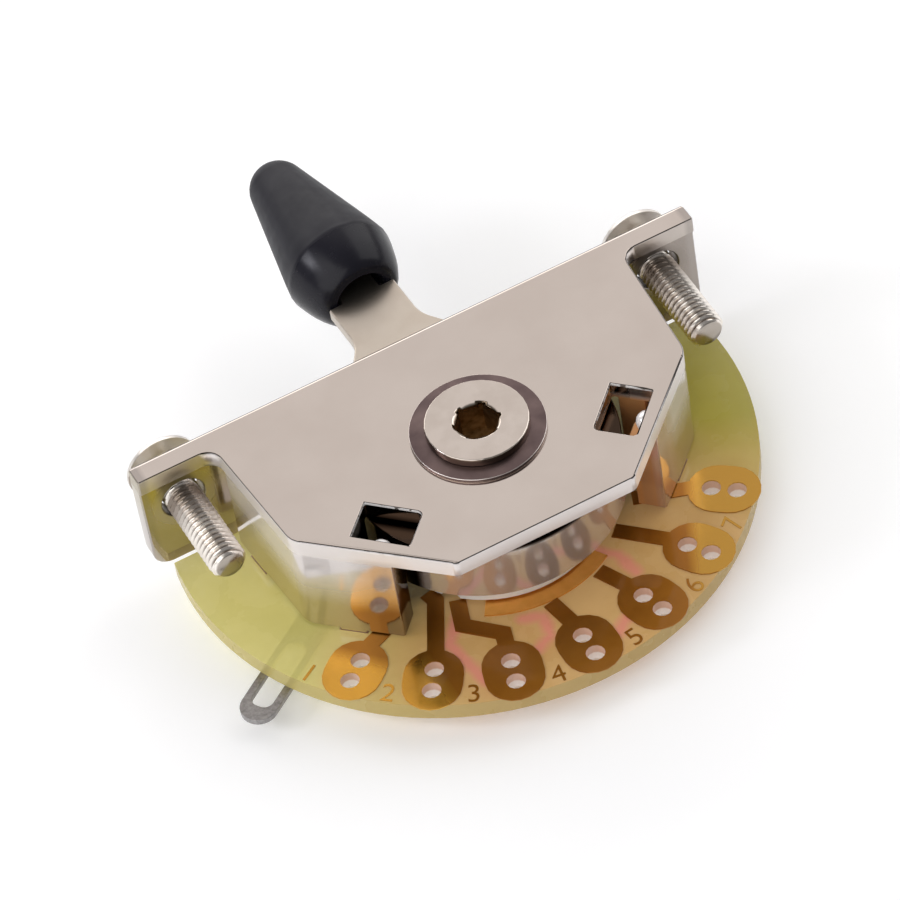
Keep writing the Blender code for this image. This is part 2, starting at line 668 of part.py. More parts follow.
def build_washers(steel, slip, brass):
    """The dished spring washer, the slip washer, the lock washer and the nut under the board."""
    bore = PIVOT_RADIUS + FIT_GAP
    low = DECK_TOP + SLIDE_GAP
    dish = SPRING_WASHER_DISH
    thick = SPRING_WASHER_THICKNESS
    profile = [(bore, low + dish + thick), (SPRING_WASHER_RADIUS, low + thick),
               (SPRING_WASHER_RADIUS, low), (bore, low + dish)]
    spring = place("spring_washer", turned_mesh("spring_washer", profile))
    turn(spring, FINE_STEPS)
    finish(spring, steel)
    bottom = DECK_BOTTOM - SLIP_WASHER_THICKNESS
    loops = [circle(SLIP_WASHER_RADIUS, ROUND_STEPS), circle(bore, ROUND_STEPS)]
    washer = place("slip_washer", flat_mesh("slip_washer", loops, bottom + SLIDE_GAP, DECK_BOTTOM))
    finish(washer, slip)
    board_bottom = UNDERSIDE_GAP
    loops = [circle(LOCK_WASHER_RADIUS, ROUND_STEPS), circle(THREAD_RADIUS + FIT_GAP, ROUND_STEPS)]
    lock_mesh = flat_mesh("lock_washer", loops, board_bottom - LOCK_WASHER_THICKNESS, board_bottom)
    lock = place("lock_washer", lock_mesh)
    finish(lock, steel)
    nut_corner = NUT_FLATS / 2.0 / math.cos(math.radians(30.0))
    loops = [circle(nut_corner, 6), circle(THREAD_RADIUS + FIT_GAP, ROUND_STEPS)]
    nut = place("pivot_nut", flat_mesh("pivot_nut", loops, 0.0, board_bottom - LOCK_WASHER_THICKNESS))
    finish(nut, brass)


def flare_angle():
    """The angle where the blade's fillet meets the tangent of the disc, in degrees."""
    across = BLADE_HALF_WIDTH + BLADE_FLARE_RADIUS
    reach = math.hypot(across, BLADE_FLARE_Y)
    lean = math.atan2(BLADE_FLARE_Y, across)
    return math.degrees(lean - math.acos((DRUM_RADIUS + BLADE_FLARE_RADIUS) / reach))


def build_lever(material, pivot):
    """The stamped lever: tang, blade, flare and disc, with the rim drawn down round its front."""
    flare = flare_angle()
    centre = (BLADE_HALF_WIDTH + BLADE_FLARE_RADIUS, BLADE_FLARE_Y)
    disc = arc(DRUM_RADIUS, 180.0 - flare, 360.0 + flare, FINE_STEPS)
    fillet = arc(BLADE_FLARE_RADIUS, 180.0 + flare, 180.0, 8, centre)
    tang_end = BLADE_SHOULDER_Y + TANG_LENGTH
    blade = [(BLADE_HALF_WIDTH, BLADE_SHOULDER_Y), (TANG_HALF_WIDTH, BLADE_SHOULDER_Y)]
    blade.append((TANG_HALF_WIDTH, tang_end))
    right = fillet + blade
    outline = disc + right + mirrored(right)
    bore = circle(PIVOT_RADIUS + FIT_GAP, ROUND_STEPS)
    lever = place("lever", flat_mesh("lever", [outline, bore], RIM_BOTTOM, LEVER_TOP))
    start = 180.0 - flare + RIM_END_RELIEF
    end = 360.0 + flare - RIM_END_RELIEF
    ring = arc(DRUM_RADIUS + CUT_MARGIN, start, end, FINE_STEPS // 2)
    ring += arc(DRUM_RADIUS - RIM_THICKNESS, end, start, FINE_STEPS)
    width = DRUM_RADIUS + 3.0 * CUT_MARGIN
    front, back = -width, tang_end + CUT_MARGIN
    sweep = [(width, front), (width, back), (-width, back), (-width, front)]
    cut(lever, "below_sheet", [sweep, ring], RIM_BOTTOM - CUT_MARGIN, LEVER_BOTTOM)
    round_edges(lever, LEVER_EDGE_ROUND)
    finish(lever, material)
    hang_on(lever, pivot)
    return lever


def build_knob(material, pivot):
    """The tapered tip with a round nose, a rolled shoulder and a bore for the lever's tang."""
    start = BLADE_SHOULDER_Y + KNOB_SEAT_GAP
    ring = KNOB_SHOULDER_RUN
    tip_centre = ring + KNOB_TAPER_RUN
    slope = math.degrees(math.asin((KNOB_RADIUS - KNOB_TIP_RADIUS) / KNOB_TAPER_RUN))
    nose = arc(KNOB_TIP_RADIUS, 90.0, slope, 9, (0.0, tip_centre))
    nose[0] = (0.0, tip_centre + KNOB_TIP_RADIUS)
    body = [(KNOB_RADIUS - 0.25 * MM, ring + 1.4 * MM), (KNOB_RADIUS, ring)]
    swell = KNOB_RADIUS - KNOB_RIM_RADIUS
    shoulder = []
    for i in range(1, 8):
        share = i / 7.0
        shoulder.append((KNOB_RIM_RADIUS + swell * math.cos(share * math.pi / 2.0) ** 1.1,
                         ring * (1.0 - math.sin(share * math.pi / 2.0) ** 1.6)))
    bore = [(KNOB_BORE_RADIUS + 0.25 * MM, 0.0), (KNOB_BORE_RADIUS, 0.35 * MM),
            (KNOB_BORE_RADIUS, KNOB_BORE_DEPTH),
            (0.0, KNOB_BORE_DEPTH)]
    profile = nose + body + shoulder + bore
    matrix = at(KNOB_SIDE_PLAY, start, (LEVER_TOP + LEVER_BOTTOM) / 2.0) @ LYING_ALONG_Y
    knob = place("lever_knob", turned_mesh("lever_knob", profile), matrix)
    turn(knob, ROUND_STEPS)
    finish(knob, material, 38.0)
    hang_on(knob, pivot)
    return knob


def ball_spot(side):
    """Centre of a detent ball."""
    reach = ROTOR_RADIUS + BALL_RADIUS + BALL_CLEARANCE
    turn_angle = math.radians(DETENT_ANGLE)
    return side * reach * math.cos(turn_angle), reach * math.sin(turn_angle)


def build_rotor(material, pivot):
    """The plastic rotor that fills the lever's rim and carries the wipers in pockets."""
    collar = DRUM_RADIUS - RIM_THICKNESS - FIT_GAP
    bore = PIVOT_RADIUS + FIT_GAP
    profile = [(bore, LEVER_BOTTOM), (collar, LEVER_BOTTOM), (collar, RIM_BOTTOM), (ROTOR_RADIUS, RIM_BOTTOM),
               (ROTOR_RADIUS, ROTOR_BOTTOM), (bore, ROTOR_BOTTOM)]
    rotor = place("contact_carrier", turned_mesh("contact_carrier", profile))
    turn(rotor, FINE_STEPS)
    notch_height = RIM_BOTTOM - ROTOR_BOTTOM
    reach = ROTOR_RADIUS + BALL_RADIUS + BALL_CLEARANCE - DETENT_GROOVE
    for side in (1, -1):
        for number in range(DETENT_COUNT):
            ball_angle = DETENT_ANGLE if side > 0 else 180.0 - DETENT_ANGLE
            step_angle = DETENT_STEP * (number - (DETENT_COUNT - 1) / 2.0)
            turn_angle = math.radians(ball_angle - LEVER_REST_ANGLE + step_angle)
            x, y = reach * math.cos(turn_angle), reach * math.sin(turn_angle)
            mesh = prism_mesh("notch", BALL_RADIUS + BALL_CLEARANCE, notch_height, SMALL_STEPS)
            tool = place_tool(f"notch_{side}_{number}", mesh, at(x, y, BALL_Z - NOTCH_ROOF))
            combine(rotor, tool, "DIFFERENCE")
    for number, angle in enumerate(WIPER_ANGLES):
        size = (WIPER_WIDTH + 2 * FIT_GAP, WIPER_LENGTH + 2 * FIT_GAP, POCKET_DEPTH * 2.0)
        matrix = Matrix.Rotation(math.radians(angle), 4, "Z") @ at(WIPER_RADIUS, 0.0, ROTOR_BOTTOM)
        combine(rotor, place_tool(f"pocket_{number}", box_mesh("pocket", size), matrix), "DIFFERENCE")
    finish(rotor, material)
    hang_on(rotor, pivot)
    return rotor


def build_wiper(number, angle, material, pivot):
    """A bronze wiper: a foot in its pocket and an arm that curves down to the copper ring."""
    ceiling = ROTOR_BOTTOM + POCKET_DEPTH - WIPER_THICKNESS / 2.0
    floor = BOARD_TOP + COPPER + COPPER_GAP + WIPER_THICKNESS / 2.0
    half = WIPER_LENGTH / 2.0
    radius = (ceiling - floor) / 2.0 * 0.55
    path = [(-half, ceiling), (half - radius, ceiling)]
    path += arc(radius, 60.0, -60.0, 8, (half - radius, ceiling - radius))
    sag = floor + 0.25 * MM
    path += [(-half * 0.2, sag + 0.15 * MM), (-half * 0.45, floor)]
    path += [(-half * 0.6, floor), (-half * 0.85, floor + 0.35 * MM)]
    name = f"contact_wiper_{number + 1}"
    mesh = ribbon_mesh(name, path, -WIPER_WIDTH / 2.0, WIPER_WIDTH / 2.0)
    matrix = Matrix.Rotation(math.radians(angle), 4, "Z") @ at(WIPER_RADIUS, 0.0, 0.0) @ SECTION_ALONG_X
    wiper = place(name, mesh, matrix)
    thicken(wiper, WIPER_THICKNESS)
    finish(wiper, material)
    hang_on(wiper, pivot)
    return wiper


def build_detent(side, steel, bronze):
    """A detent ball beside the rotor and the leaf spring that presses it from the side wall."""
    word = "right" if side > 0 else "left"
    x, y = ball_spot(side)
    name = f"detent_ball_{word}"
    ball = place(name, ball_mesh(name, BALL_RADIUS), at(x, y, BALL_Z))
    finish(ball, steel)
    wall_y = TENON_SIDE_Y - TENON_LENGTH
    press = BALL_RADIUS + FIT_GAP / 2.0 + SPRING_THICKNESS / 2.0
    press_x = abs(x) + press * math.cos(math.radians(DETENT_ANGLE))
    press_y = y + press * math.sin(math.radians(DETENT_ANGLE))
    wall = SHEET + SPRING_WALL_GAP + SPRING_THICKNESS / 2.0
    root_y = wall_y + SPRING_FOOT
    path = [(side_x(root_y) - wall, root_y), (side_x(wall_y) - wall, wall_y)]
    reach_x, reach_y = path[-1][0] - press_x, path[-1][1] - press_y
    path += [(press_x + reach_x * across, press_y + reach_y * down) for across, down in SPRING_SWEEP]
    if side < 0:
        path = mirrored(path)
    low, high = BALL_Z - SPRING_HEIGHT / 2.0, BALL_Z + SPRING_HEIGHT / 2.0
    mesh = ribbon_mesh(f"detent_spring_{word}", path, low, high)
    spring = place(f"detent_spring_{word}", mesh)
    thicken(spring, SPRING_THICKNESS)
    finish(spring, bronze)


def pad_angle(number):
    """The direction of a pad from the board's centre, in degrees."""
    return -90.0 + PAD_PITCH * (number - (PAD_COUNT - 1) / 2.0)


def pad_hole_spots(number):
    """Centres of the two holes of a pad."""
    turn_angle = math.radians(pad_angle(number))
    spots = []
    for radius in (PAD_INNER_HOLE, PAD_INNER_HOLE + PAD_HOLE_SPACING):
        spots.append((radius * math.cos(turn_angle), BOARD_CENTRE_Y + radius * math.sin(turn_angle)))
    return spots


def build_board(material):
    """The printed board: a disc with a straight back, pad holes, slots and the pivot's hole."""
    back = BACK_Y - EAR_DEPTH - FIT_GAP - BOARD_CENTRE_Y
    lift = math.degrees(math.asin(back / BOARD_RADIUS))
    outline = arc(BOARD_RADIUS, 180.0 - lift, 360.0 + lift, FINE_STEPS, (0.0, BOARD_CENTRE_Y))
    rivet_hole = circle(RIVET_RADIUS + FIT_GAP / 2.0, HOLE_STEPS, lug_point(LUG_RIVET_RUN, 0.0))
    holes = [circle(THREAD_RADIUS + FIT_GAP, ROUND_STEPS), rivet_hole]
    for number in range(PAD_COUNT):
        holes += [circle(PAD_HOLE_RADIUS, HOLE_STEPS, spot) for spot in pad_hole_spots(number)]
    board = place("circuit_board", flat_mesh("circuit_board", [outline] + holes, UNDERSIDE_GAP, BOARD_TOP))
    slots = tenon_outlines(TENON_LENGTH + 2.0 * SLOT_GAP, SHEET + 2.0 * SLOT_GAP)
    cut(board, "slots", slots, 0.0, BOARD_TOP + SHEET)
    finish(board, material)
    return board


def trace_routes():
    """Centre lines of the traces inward from their pads, in millimetres."""
    routes = [[(-12.0, -5.4)],
              [(-7.7, -5.1), (-7.9, -4.1)],
              [(-4.9, -10.7), (-7.1, -8.4), (-6.3, -6.0)],
              [(-0.5, -10.1)],
              [(4.0, -9.4)],
              [(6.9, -6.6)],
              [(9.6, -4.6)]]
    return [[(x * MM, y * MM) for x, y in route] for route in routes]


def build_pad(number, route, material):
    """A copper pad with two holes, and the trace that leaves its inner end."""
    turn_angle = math.radians(pad_angle(number))
    ux, uy = math.cos(turn_angle), math.sin(turn_angle)
    middle = PAD_INNER_HOLE + PAD_HOLE_SPACING / 2.0
    straight = (PAD_LENGTH - PAD_WIDTH) / 2.0
    half_rounds = arc(PAD_WIDTH / 2.0, -90.0, 90.0, 10, (middle + straight, 0.0))
    half_rounds += arc(PAD_WIDTH / 2.0, 90.0, 270.0, 10, (middle - straight, 0.0))
    outline = [(px * ux - py * uy, BOARD_CENTRE_Y + px * uy + py * ux) for px, py in half_rounds]
    holes = [circle(PAD_HOLE_RADIUS, HOLE_STEPS, spot) for spot in pad_hole_spots(number)]
    name = f"solder_pad_{number + 1}"
    pad = place(name, flat_mesh(name, [outline] + holes, BOARD_TOP, BOARD_TOP + COPPER))
    root = PAD_INNER_HOLE - PAD_HOLE_RADIUS - TRACE_WIDTH / 3.0
    path = [(root * ux, BOARD_CENTRE_Y + root * uy)] + route
    strip = offset_path(path, TRACE_WIDTH / 2.0) + list(reversed(offset_path(path, -TRACE_WIDTH / 2.0)))
    trace = place_tool(f"{name}_trace", flat_mesh("trace", [strip], BOARD_TOP, BOARD_TOP + COPPER))
    combine(pad, trace, "UNION")
    finish(pad, material)
    return pad


def build_tracks(material):
    """The copper arc outside the rotor's foot and the common ring under the wipers."""
    outer = arc(OUTER_TRACK_RADIUS, OUTER_TRACK_START, OUTER_TRACK_END, 32)
    inner = arc(OUTER_TRACK_RADIUS - OUTER_TRACK_WIDTH, OUTER_TRACK_END, OUTER_TRACK_START, 32)
    track = place("outer_track", flat_mesh("outer_track", [outer + inner], BOARD_TOP, BOARD_TOP + COPPER))
    finish(track, material)
    loops = [circle(COMMON_RING_OUTER, ROUND_STEPS), circle(COMMON_RING_INNER, ROUND_STEPS)]
    ring = place("common_ring", flat_mesh("common_ring", loops, BOARD_TOP, BOARD_TOP + COPPER))
    finish(ring, material)


def lug_point(run, across):
    """A point on the ground lug: a run along it from the pivot's side and an offset across."""
    turn_angle = math.radians(LUG_ANGLE)
    ux, uy = math.cos(turn_angle), math.sin(turn_angle)
    shift = LUG_OFFSET - across
    return (ux * run + uy * shift, uy * run - ux * shift)


def build_lug(tin):
    """The ground lug under the board and the rivet that holds it."""
    half = LUG_WIDTH / 2.0
    spots = [(LUG_INNER_END, -half, 0.4 * MM), (LUG_OUTER_END, -half, half * 0.98),
             (LUG_OUTER_END, half, half * 0.98), (LUG_INNER_END, half, 0.4 * MM)]
    outline = rounded([(*lug_point(run, across), radius) for run, across, radius in spots], 8)
    slot_half = LUG_SLOT_WIDTH / 2.0
    slot_end = LUG_OUTER_END - (LUG_WIDTH - LUG_SLOT_WIDTH) * 1.2
    slot_start = slot_end - LUG_SLOT_LENGTH
    spots = [(slot_start, -slot_half), (slot_end, -slot_half), (slot_end, slot_half), (slot_start, slot_half)]
    slot = rounded([(*lug_point(run, across), slot_half * 0.8) for run, across in spots], 6)
    eye = circle(RIVET_RADIUS + FIT_GAP / 2.0, HOLE_STEPS, lug_point(LUG_RIVET_RUN, 0.0))
    lug_mesh = flat_mesh("ground_lug", [outline, slot, eye], UNDERSIDE_GAP - LUG_THICKNESS, UNDERSIDE_GAP)
    lug = place("ground_lug", lug_mesh)
    finish(lug, tin)
    top = BOARD_TOP + RIVET_HEAD
    bottom = UNDERSIDE_GAP - LUG_THICKNESS
    profile = [(0.0, top), (RIVET_HEAD_RADIUS * 0.7, top), (RIVET_HEAD_RADIUS, top - RIVET_HEAD / 2.0),
               (RIVET_HEAD_RADIUS, BOARD_TOP), (RIVET_RADIUS, BOARD_TOP), (RIVET_RADIUS, bottom),
               (RIVET_HEAD_RADIUS, bottom), (RIVET_HEAD_RADIUS * 0.8, bottom - RIVET_HEAD),
               (0.0, bottom - RIVET_HEAD)]
    x, y = lug_point(LUG_RIVET_RUN, 0.0)
    rivet = place("lug_rivet", turned_mesh("lug_rivet", profile), at(x, y, 0.0))
    turn(rivet, SMALL_STEPS)
    finish(rivet, tin)


def build():
    """Make every piece."""
    start_clean()
    nickel = make_material("nickel plated steel", (0.62, 0.57, 0.53), 0.12, 1.0)
    burnt = make_material("heat coloured steel", (0.13, 0.09, 0.085), 0.35, 0.9)
    steel = make_material("bright steel", (0.6, 0.6, 0.6), 0.2, 1.0)
    black = make_material("black plastic", (0.02, 0.02, 0.022), 0.4, 0.0)
    white = make_material("white plastic", (0.8, 0.79, 0.76), 0.4, 0.0)
    board = make_material("glass fibre board", (0.5, 0.45, 0.1), 0.3, 0.0)
    copper = make_material("copper foil", (0.4, 0.2, 0.04), 0.3, 0.8)
    bronze = make_material("spring bronze", (0.5, 0.3, 0.12), 0.3, 1.0)
    brass = make_material("brass", (0.6, 0.45, 0.18), 0.3, 1.0)
    tin = make_material("tinned steel", (0.3, 0.29, 0.28), 0.35, 1.0)
    nylon = make_material("natural nylon", (0.7, 0.68, 0.6), 0.45, 0.0)

    pivot = bpy.data.objects.new("lever_pivot", None)
    bpy.data.collections[TOOL_COLLECTION].objects.link(pivot)
    pivot.hide_render = True
    pivot.rotation_euler[2] = math.radians(LEVER_REST_ANGLE)
    bpy.context.view_layer.update()

    build_bracket(nickel)
    for side in (-1, 1):
        build_mounting_screw(side, steel)
        build_detent(side, steel, bronze)
    build_pivot_screw(nickel)
    build_washers(burnt, nylon, brass)
    build_lever(nickel, pivot)
    build_knob(black, pivot)
    build_rotor(white, pivot)
    for number, angle in enumerate(WIPER_ANGLES):
        build_wiper(number, angle, bronze, pivot)
    build_board(board)
    for number, route in enumerate(trace_routes()):
        build_pad(number, route, copper)
    build_tracks(copper)
    build_lug(tin)
    bpy.context.view_layer.update()


build()
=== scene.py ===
import json
import math

import bmesh
import bpy
from mathutils import Matrix, Vector

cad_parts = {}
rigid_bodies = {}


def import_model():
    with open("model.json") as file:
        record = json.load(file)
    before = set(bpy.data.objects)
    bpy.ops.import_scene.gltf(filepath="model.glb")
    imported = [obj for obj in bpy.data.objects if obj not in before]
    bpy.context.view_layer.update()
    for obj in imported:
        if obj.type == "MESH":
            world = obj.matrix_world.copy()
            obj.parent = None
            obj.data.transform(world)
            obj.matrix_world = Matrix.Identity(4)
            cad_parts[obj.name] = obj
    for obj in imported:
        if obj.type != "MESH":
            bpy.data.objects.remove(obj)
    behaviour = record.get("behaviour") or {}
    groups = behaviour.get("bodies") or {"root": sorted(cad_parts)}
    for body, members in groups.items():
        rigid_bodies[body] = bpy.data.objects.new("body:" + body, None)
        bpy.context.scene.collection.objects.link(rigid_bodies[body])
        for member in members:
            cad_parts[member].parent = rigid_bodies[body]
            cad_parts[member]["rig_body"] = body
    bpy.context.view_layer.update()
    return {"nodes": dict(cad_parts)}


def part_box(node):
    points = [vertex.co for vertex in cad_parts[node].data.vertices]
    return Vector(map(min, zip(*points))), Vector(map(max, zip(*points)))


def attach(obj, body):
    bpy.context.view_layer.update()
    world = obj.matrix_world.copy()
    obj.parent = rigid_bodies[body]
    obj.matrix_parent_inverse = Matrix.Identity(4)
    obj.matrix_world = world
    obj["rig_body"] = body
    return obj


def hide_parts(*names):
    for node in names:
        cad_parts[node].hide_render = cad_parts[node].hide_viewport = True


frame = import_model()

MM = 0.001
NODES = frame["nodes"]

# The camera, solved from the photograph's view of the plate, in millimetres and degrees
CAMERA_AT = (-104.94, -277.69, 350.54)
CAMERA_AIM = (-2.73, -0.60, 13.2)
CAMERA_ROLL = -10.308
CAMERA_LENS = 240.0
CAMERA_SENSOR = 36.0
CAMERA_CLIP = (0.01, 20.0)

# Heights taken from the frame, the centre of the board's round edge, and the plate's thickness
BOARD_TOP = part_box("circuit_board")[1].z
PLATE_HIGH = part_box("bracket")[1]
PLATE_TOP = PLATE_HIGH.z
SCREW_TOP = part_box("pivot_screw")[1].z
DISC_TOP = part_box("lever")[1].z
BOARD_CENTRE = Vector((0.0, 5.47 * MM, 0.0))
PLATE_SHEET = 1.6 * MM

# How many pads and wipers there are
PAD_COUNT = 7
WIPER_COUNT = 3

# Where the colours of the plate and the pivot screw change
RETURNS_Y = -5.8 * MM
EAR_MIRROR_Z = 9.0 * MM
SOCKET_REACH = 2.225 * MM

# Where the board's colours change: tan painted shade in front, olive painted shade at the right, bores with
# a painted white glow low down, and painted shade under the plate
TAN_CENTRE = (2.5 * MM, -11.0 * MM, 0.0)
TAN_SQUEEZE = (0.62, 1.0, 0.0)
TAN_REACH = 13.0 * MM
OLIVE_X = 10.0 * MM
BORES_REACH = 22.35 * MM
BORES_BACK_Y = 8.75 * MM
BORE_STEP_Z = BOARD_TOP - 0.775 * MM
UNDER_MIDDLE = ((0.0, 1.0 * MM, 0.0), (0.45, 1.0, 0.0))
UNDER_SIDES = ((0.0, 2.5 * MM, 0.0), (0.42, 1.0, 0.0))
UNDER_REACH = 6.7 * MM

# Where the copper lies in the plate's shade, with two of its borders slanted
COPPER_LEFT_X = -11.1 * MM
COPPER_FIRST_PAD = -20.65 * MM
COPPER_FIRST_SLANT = 0.8
COPPER_FIRST_Y = -9.45 * MM
COPPER_RIGHT = 16.8 * MM
COPPER_RIGHT_SLANT = 0.5
COPPER_DEEP_GOLD_X = 7.0 * MM

# Mounting screws: M3 thread, with the head standing off behind the ear
SCREW_RADIUS = 1.5 * MM
HEAD_STANDOFF = 2.05 * MM
HEAD_CUT = 0.01 * MM
HEAD_OVERLAP = 0.1 * MM
HEAD_FRONT_Y = 11.35 * MM
SCREW_SHADE_Y = 7.3 * MM
SCREW_SHADE_SOFT = 3.4 * MM
SCREW_HIDDEN_Y = 10.0 * MM
THREAD_PITCH = 0.5 * MM
THREAD_DEPTH = 0.3 * MM
THREAD_STEPS = 40
THREAD_SAMPLES = 8
THREAD_CHAMFER = 0.4 * MM
THREAD_CREST = 0.7

# The ears: their front face, their screw holes, and the root that joins each one to its skirt
EAR_FACE_Y = PLATE_HIGH.y - 1.84 * MM
EAR_SIDE_X = PLATE_HIGH.x - 0.7 * MM
HOLE_X = 20.65 * MM
HOLE_Y = 9.9 * MM
HOLE_Z = 9.12 * MM
ROOT_X = (16.9 * MM, 18.05 * MM)
ROOT_Y = (9.92 * MM, 11.3 * MM)
ROOT_Z = (2.3 * MM, PLATE_TOP - 1.55 * MM)
ROOT_CORNER = 0.3 * MM
ROOT_CORNER_STEPS = 6

# The windows in the plate: an ellipse that holds both, their top lips, and the round nibs beside them,
# where a white highlight is painted
WINDOWS_CENTRE = (0.0, -3.0 * MM, 0.0)
WINDOWS_SQUEEZE = (0.52, 1.0, 0.0)
WINDOWS_REACH = 7.0 * MM
WINDOWS_SOFT = 0.8 * MM
LIP_DEPTH = 0.24 * MM
NIB_X = 11.03 * MM
NIB_Y = -5.3 * MM
NIB_Z = PLATE_TOP - 0.99 * MM
NIB_REACH = 0.915 * MM

# Where the lever comes out of the plate's shade, at the back and as the drum in front, and grows dull
SHADE_BACK_Y = 10.3 * MM
DRUM_FRONT_Y = -5.9 * MM
SHADE_SOFT = 0.6 * MM
BLADE_DULL_Y = (10.8 * MM, 11.6 * MM)
KNOB_SHOULDER_Y = (22.4 * MM, 23.2 * MM)

# Soft strokes of red ink that show through the board, in millimetres
INK_STROKES = [[(-3.12, -10.23), (-1.59, -10.89), (-1.96, -12.83), (-3.42, -13.47)],
               [(-6.33, -6.48), (-8.80, -9.40), (-8.16, -13.87)],
               [(4.67, -7.36), (6.01, -8.84), (6.40, -11.09)], [(4.29, -14.10), (2.34, -15.44)]]
INK_CORE = 0.15 * MM
INK_REACH = 0.75 * MM

# The etched numbers, and the pads that they follow, with angles in degrees
NUMBER_RADIUS = 22.2 * MM
NUMBER_LEAD = 8.5
NUMBER_HEIGHT = 1.72 * MM
NUMBER_THICKNESS = 0.04 * MM
NUMBER_THINNING = 0.012 * MM
NUMBER_CURVE_STEPS = 6
DIGIT_SHARE = 0.73
PAD_FIRST = -140.4
PAD_PITCH = 16.8

# Angles in degrees above which an edge stays sharp, or is rounded where a piece has rounded edges
SHARP_PLAIN = 50.0
SHARP_BEVELLED = 89.0
SHARP_SCREW = 60.0
SHARP_ROOT = 30.0
BEVEL_ANGLE = 30.0

# The width of the rounded edges, and the depth of the fine bumps
ROUND_EDGES = {"spring_washer": 0.06 * MM, "ground_lug": 0.08 * MM,
               "lock_washer": 0.05 * MM, "pivot_nut": 0.12 * MM}
FINE_BUMP = 0.02 * MM

# The studio, in metres, watts and linear colours. A lamp has a name, place, size, power and colour
FLOOR_HALF = 3.0
FLOOR_COLOUR = (0.925, 0.93, 0.935)
FLOOR_GLOW = 0.155
FLOOR_GLOW_COLOUR = (0.96, 0.985, 1.0)
LAMPS = [("front_left", (-0.66, -0.38, 0.55), (1.1, 1.1), 5.6, (1.0, 0.995, 0.99)),
         ("back", (0.05, 0.85, 0.36), (1.1, 0.4), 2.4, (1.0, 0.99, 0.98)),
         ("right", (0.75, 0.10, 0.55), (0.8, 0.8), 2.6, (1.0, 1.0, 1.0)),
         ("left_high", (-0.70, 0.22, 0.47), (0.2, 0.24), 1.4, (0.92, 0.92, 1.0))]
SKY_AXIS = (0.30, 0.81, 0.50)
SKY_DARK = (0.22, 0.215, 0.215)
SKY_SIDE = (0.28, 0.275, 0.275)
SKY_TOP = (0.32, 0.31, 0.305)
SKY_PALE = (0.885, 0.85, 0.835)
SKY_STOPS = [(0.0, SKY_DARK), (0.5, SKY_DARK), (0.72, SKY_SIDE),
             (0.80, SKY_TOP), (0.88, SKY_PALE), (1.0, SKY_PALE)]


def place(name, mesh, body, material):
    """Link a new piece, paint it, and let it ride on its body."""
    piece = bpy.data.objects.new(name, mesh)
    bpy.context.scene.collection.objects.link(piece)
    piece.data.materials.clear()
    piece.data.materials.append(material)
    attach(piece, body)
    return piece


def welded(node):
    """A CAD node's shape with its corners joined and its flat faces merged."""
    bm = bmesh.new()
    bm.from_mesh(NODES[node].data)
    bmesh.ops.remove_doubles(bm, verts=bm.verts, dist=1e-6)
    bmesh.ops.dissolve_limit(bm, angle_limit=math.radians(0.3), verts=bm.verts, edges=bm.edges)
    return bm


def smooth_faces(bm, angle):
    """Shade a mesh smooth, with the edges sharper than an angle kept."""
    for face in bm.faces:
        face.smooth = True
    for edge in bm.edges:
        edge.smooth = edge.calc_face_angle(0.0) < math.radians(angle)


def mesh_from(bm, name):
    """A mesh with plain normals from a bmesh."""
    mesh = bpy.data.meshes.new(name)
    bm.to_mesh(mesh)
    bm.free()
    if "custom_normal" in mesh.attributes:
        mesh.attributes.remove(mesh.attributes["custom_normal"])
    return mesh


def dress(node, material):
    """Stand a smooth copy, with the edges rounded on some, in a node's place."""
    edge = ROUND_EDGES.get(node)
    bm = welded(node)
    smooth_faces(bm, SHARP_BEVELLED if edge else SHARP_PLAIN)
    name = f"{node}_finish"
    piece = place(name, mesh_from(bm, name), NODES[node]["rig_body"], material)
    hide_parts(node)
    if edge:
        round_off = piece.modifiers.new("edges", "BEVEL")
        round_off.width = edge
        round_off.segments = 2
        round_off.limit_method = "ANGLE"
        round_off.angle_limit = math.radians(BEVEL_ANGLE)
        round_off.use_clamp_overlap = True
    even = piece.modifiers.new("normals", "WEIGHTED_NORMAL")
    even.keep_sharp = True
    even.weight = 100


def paint(node, material):
    """Give a CAD node a finish."""
    data = NODES[node].data
    data.materials.clear()
    data.materials.append(material)


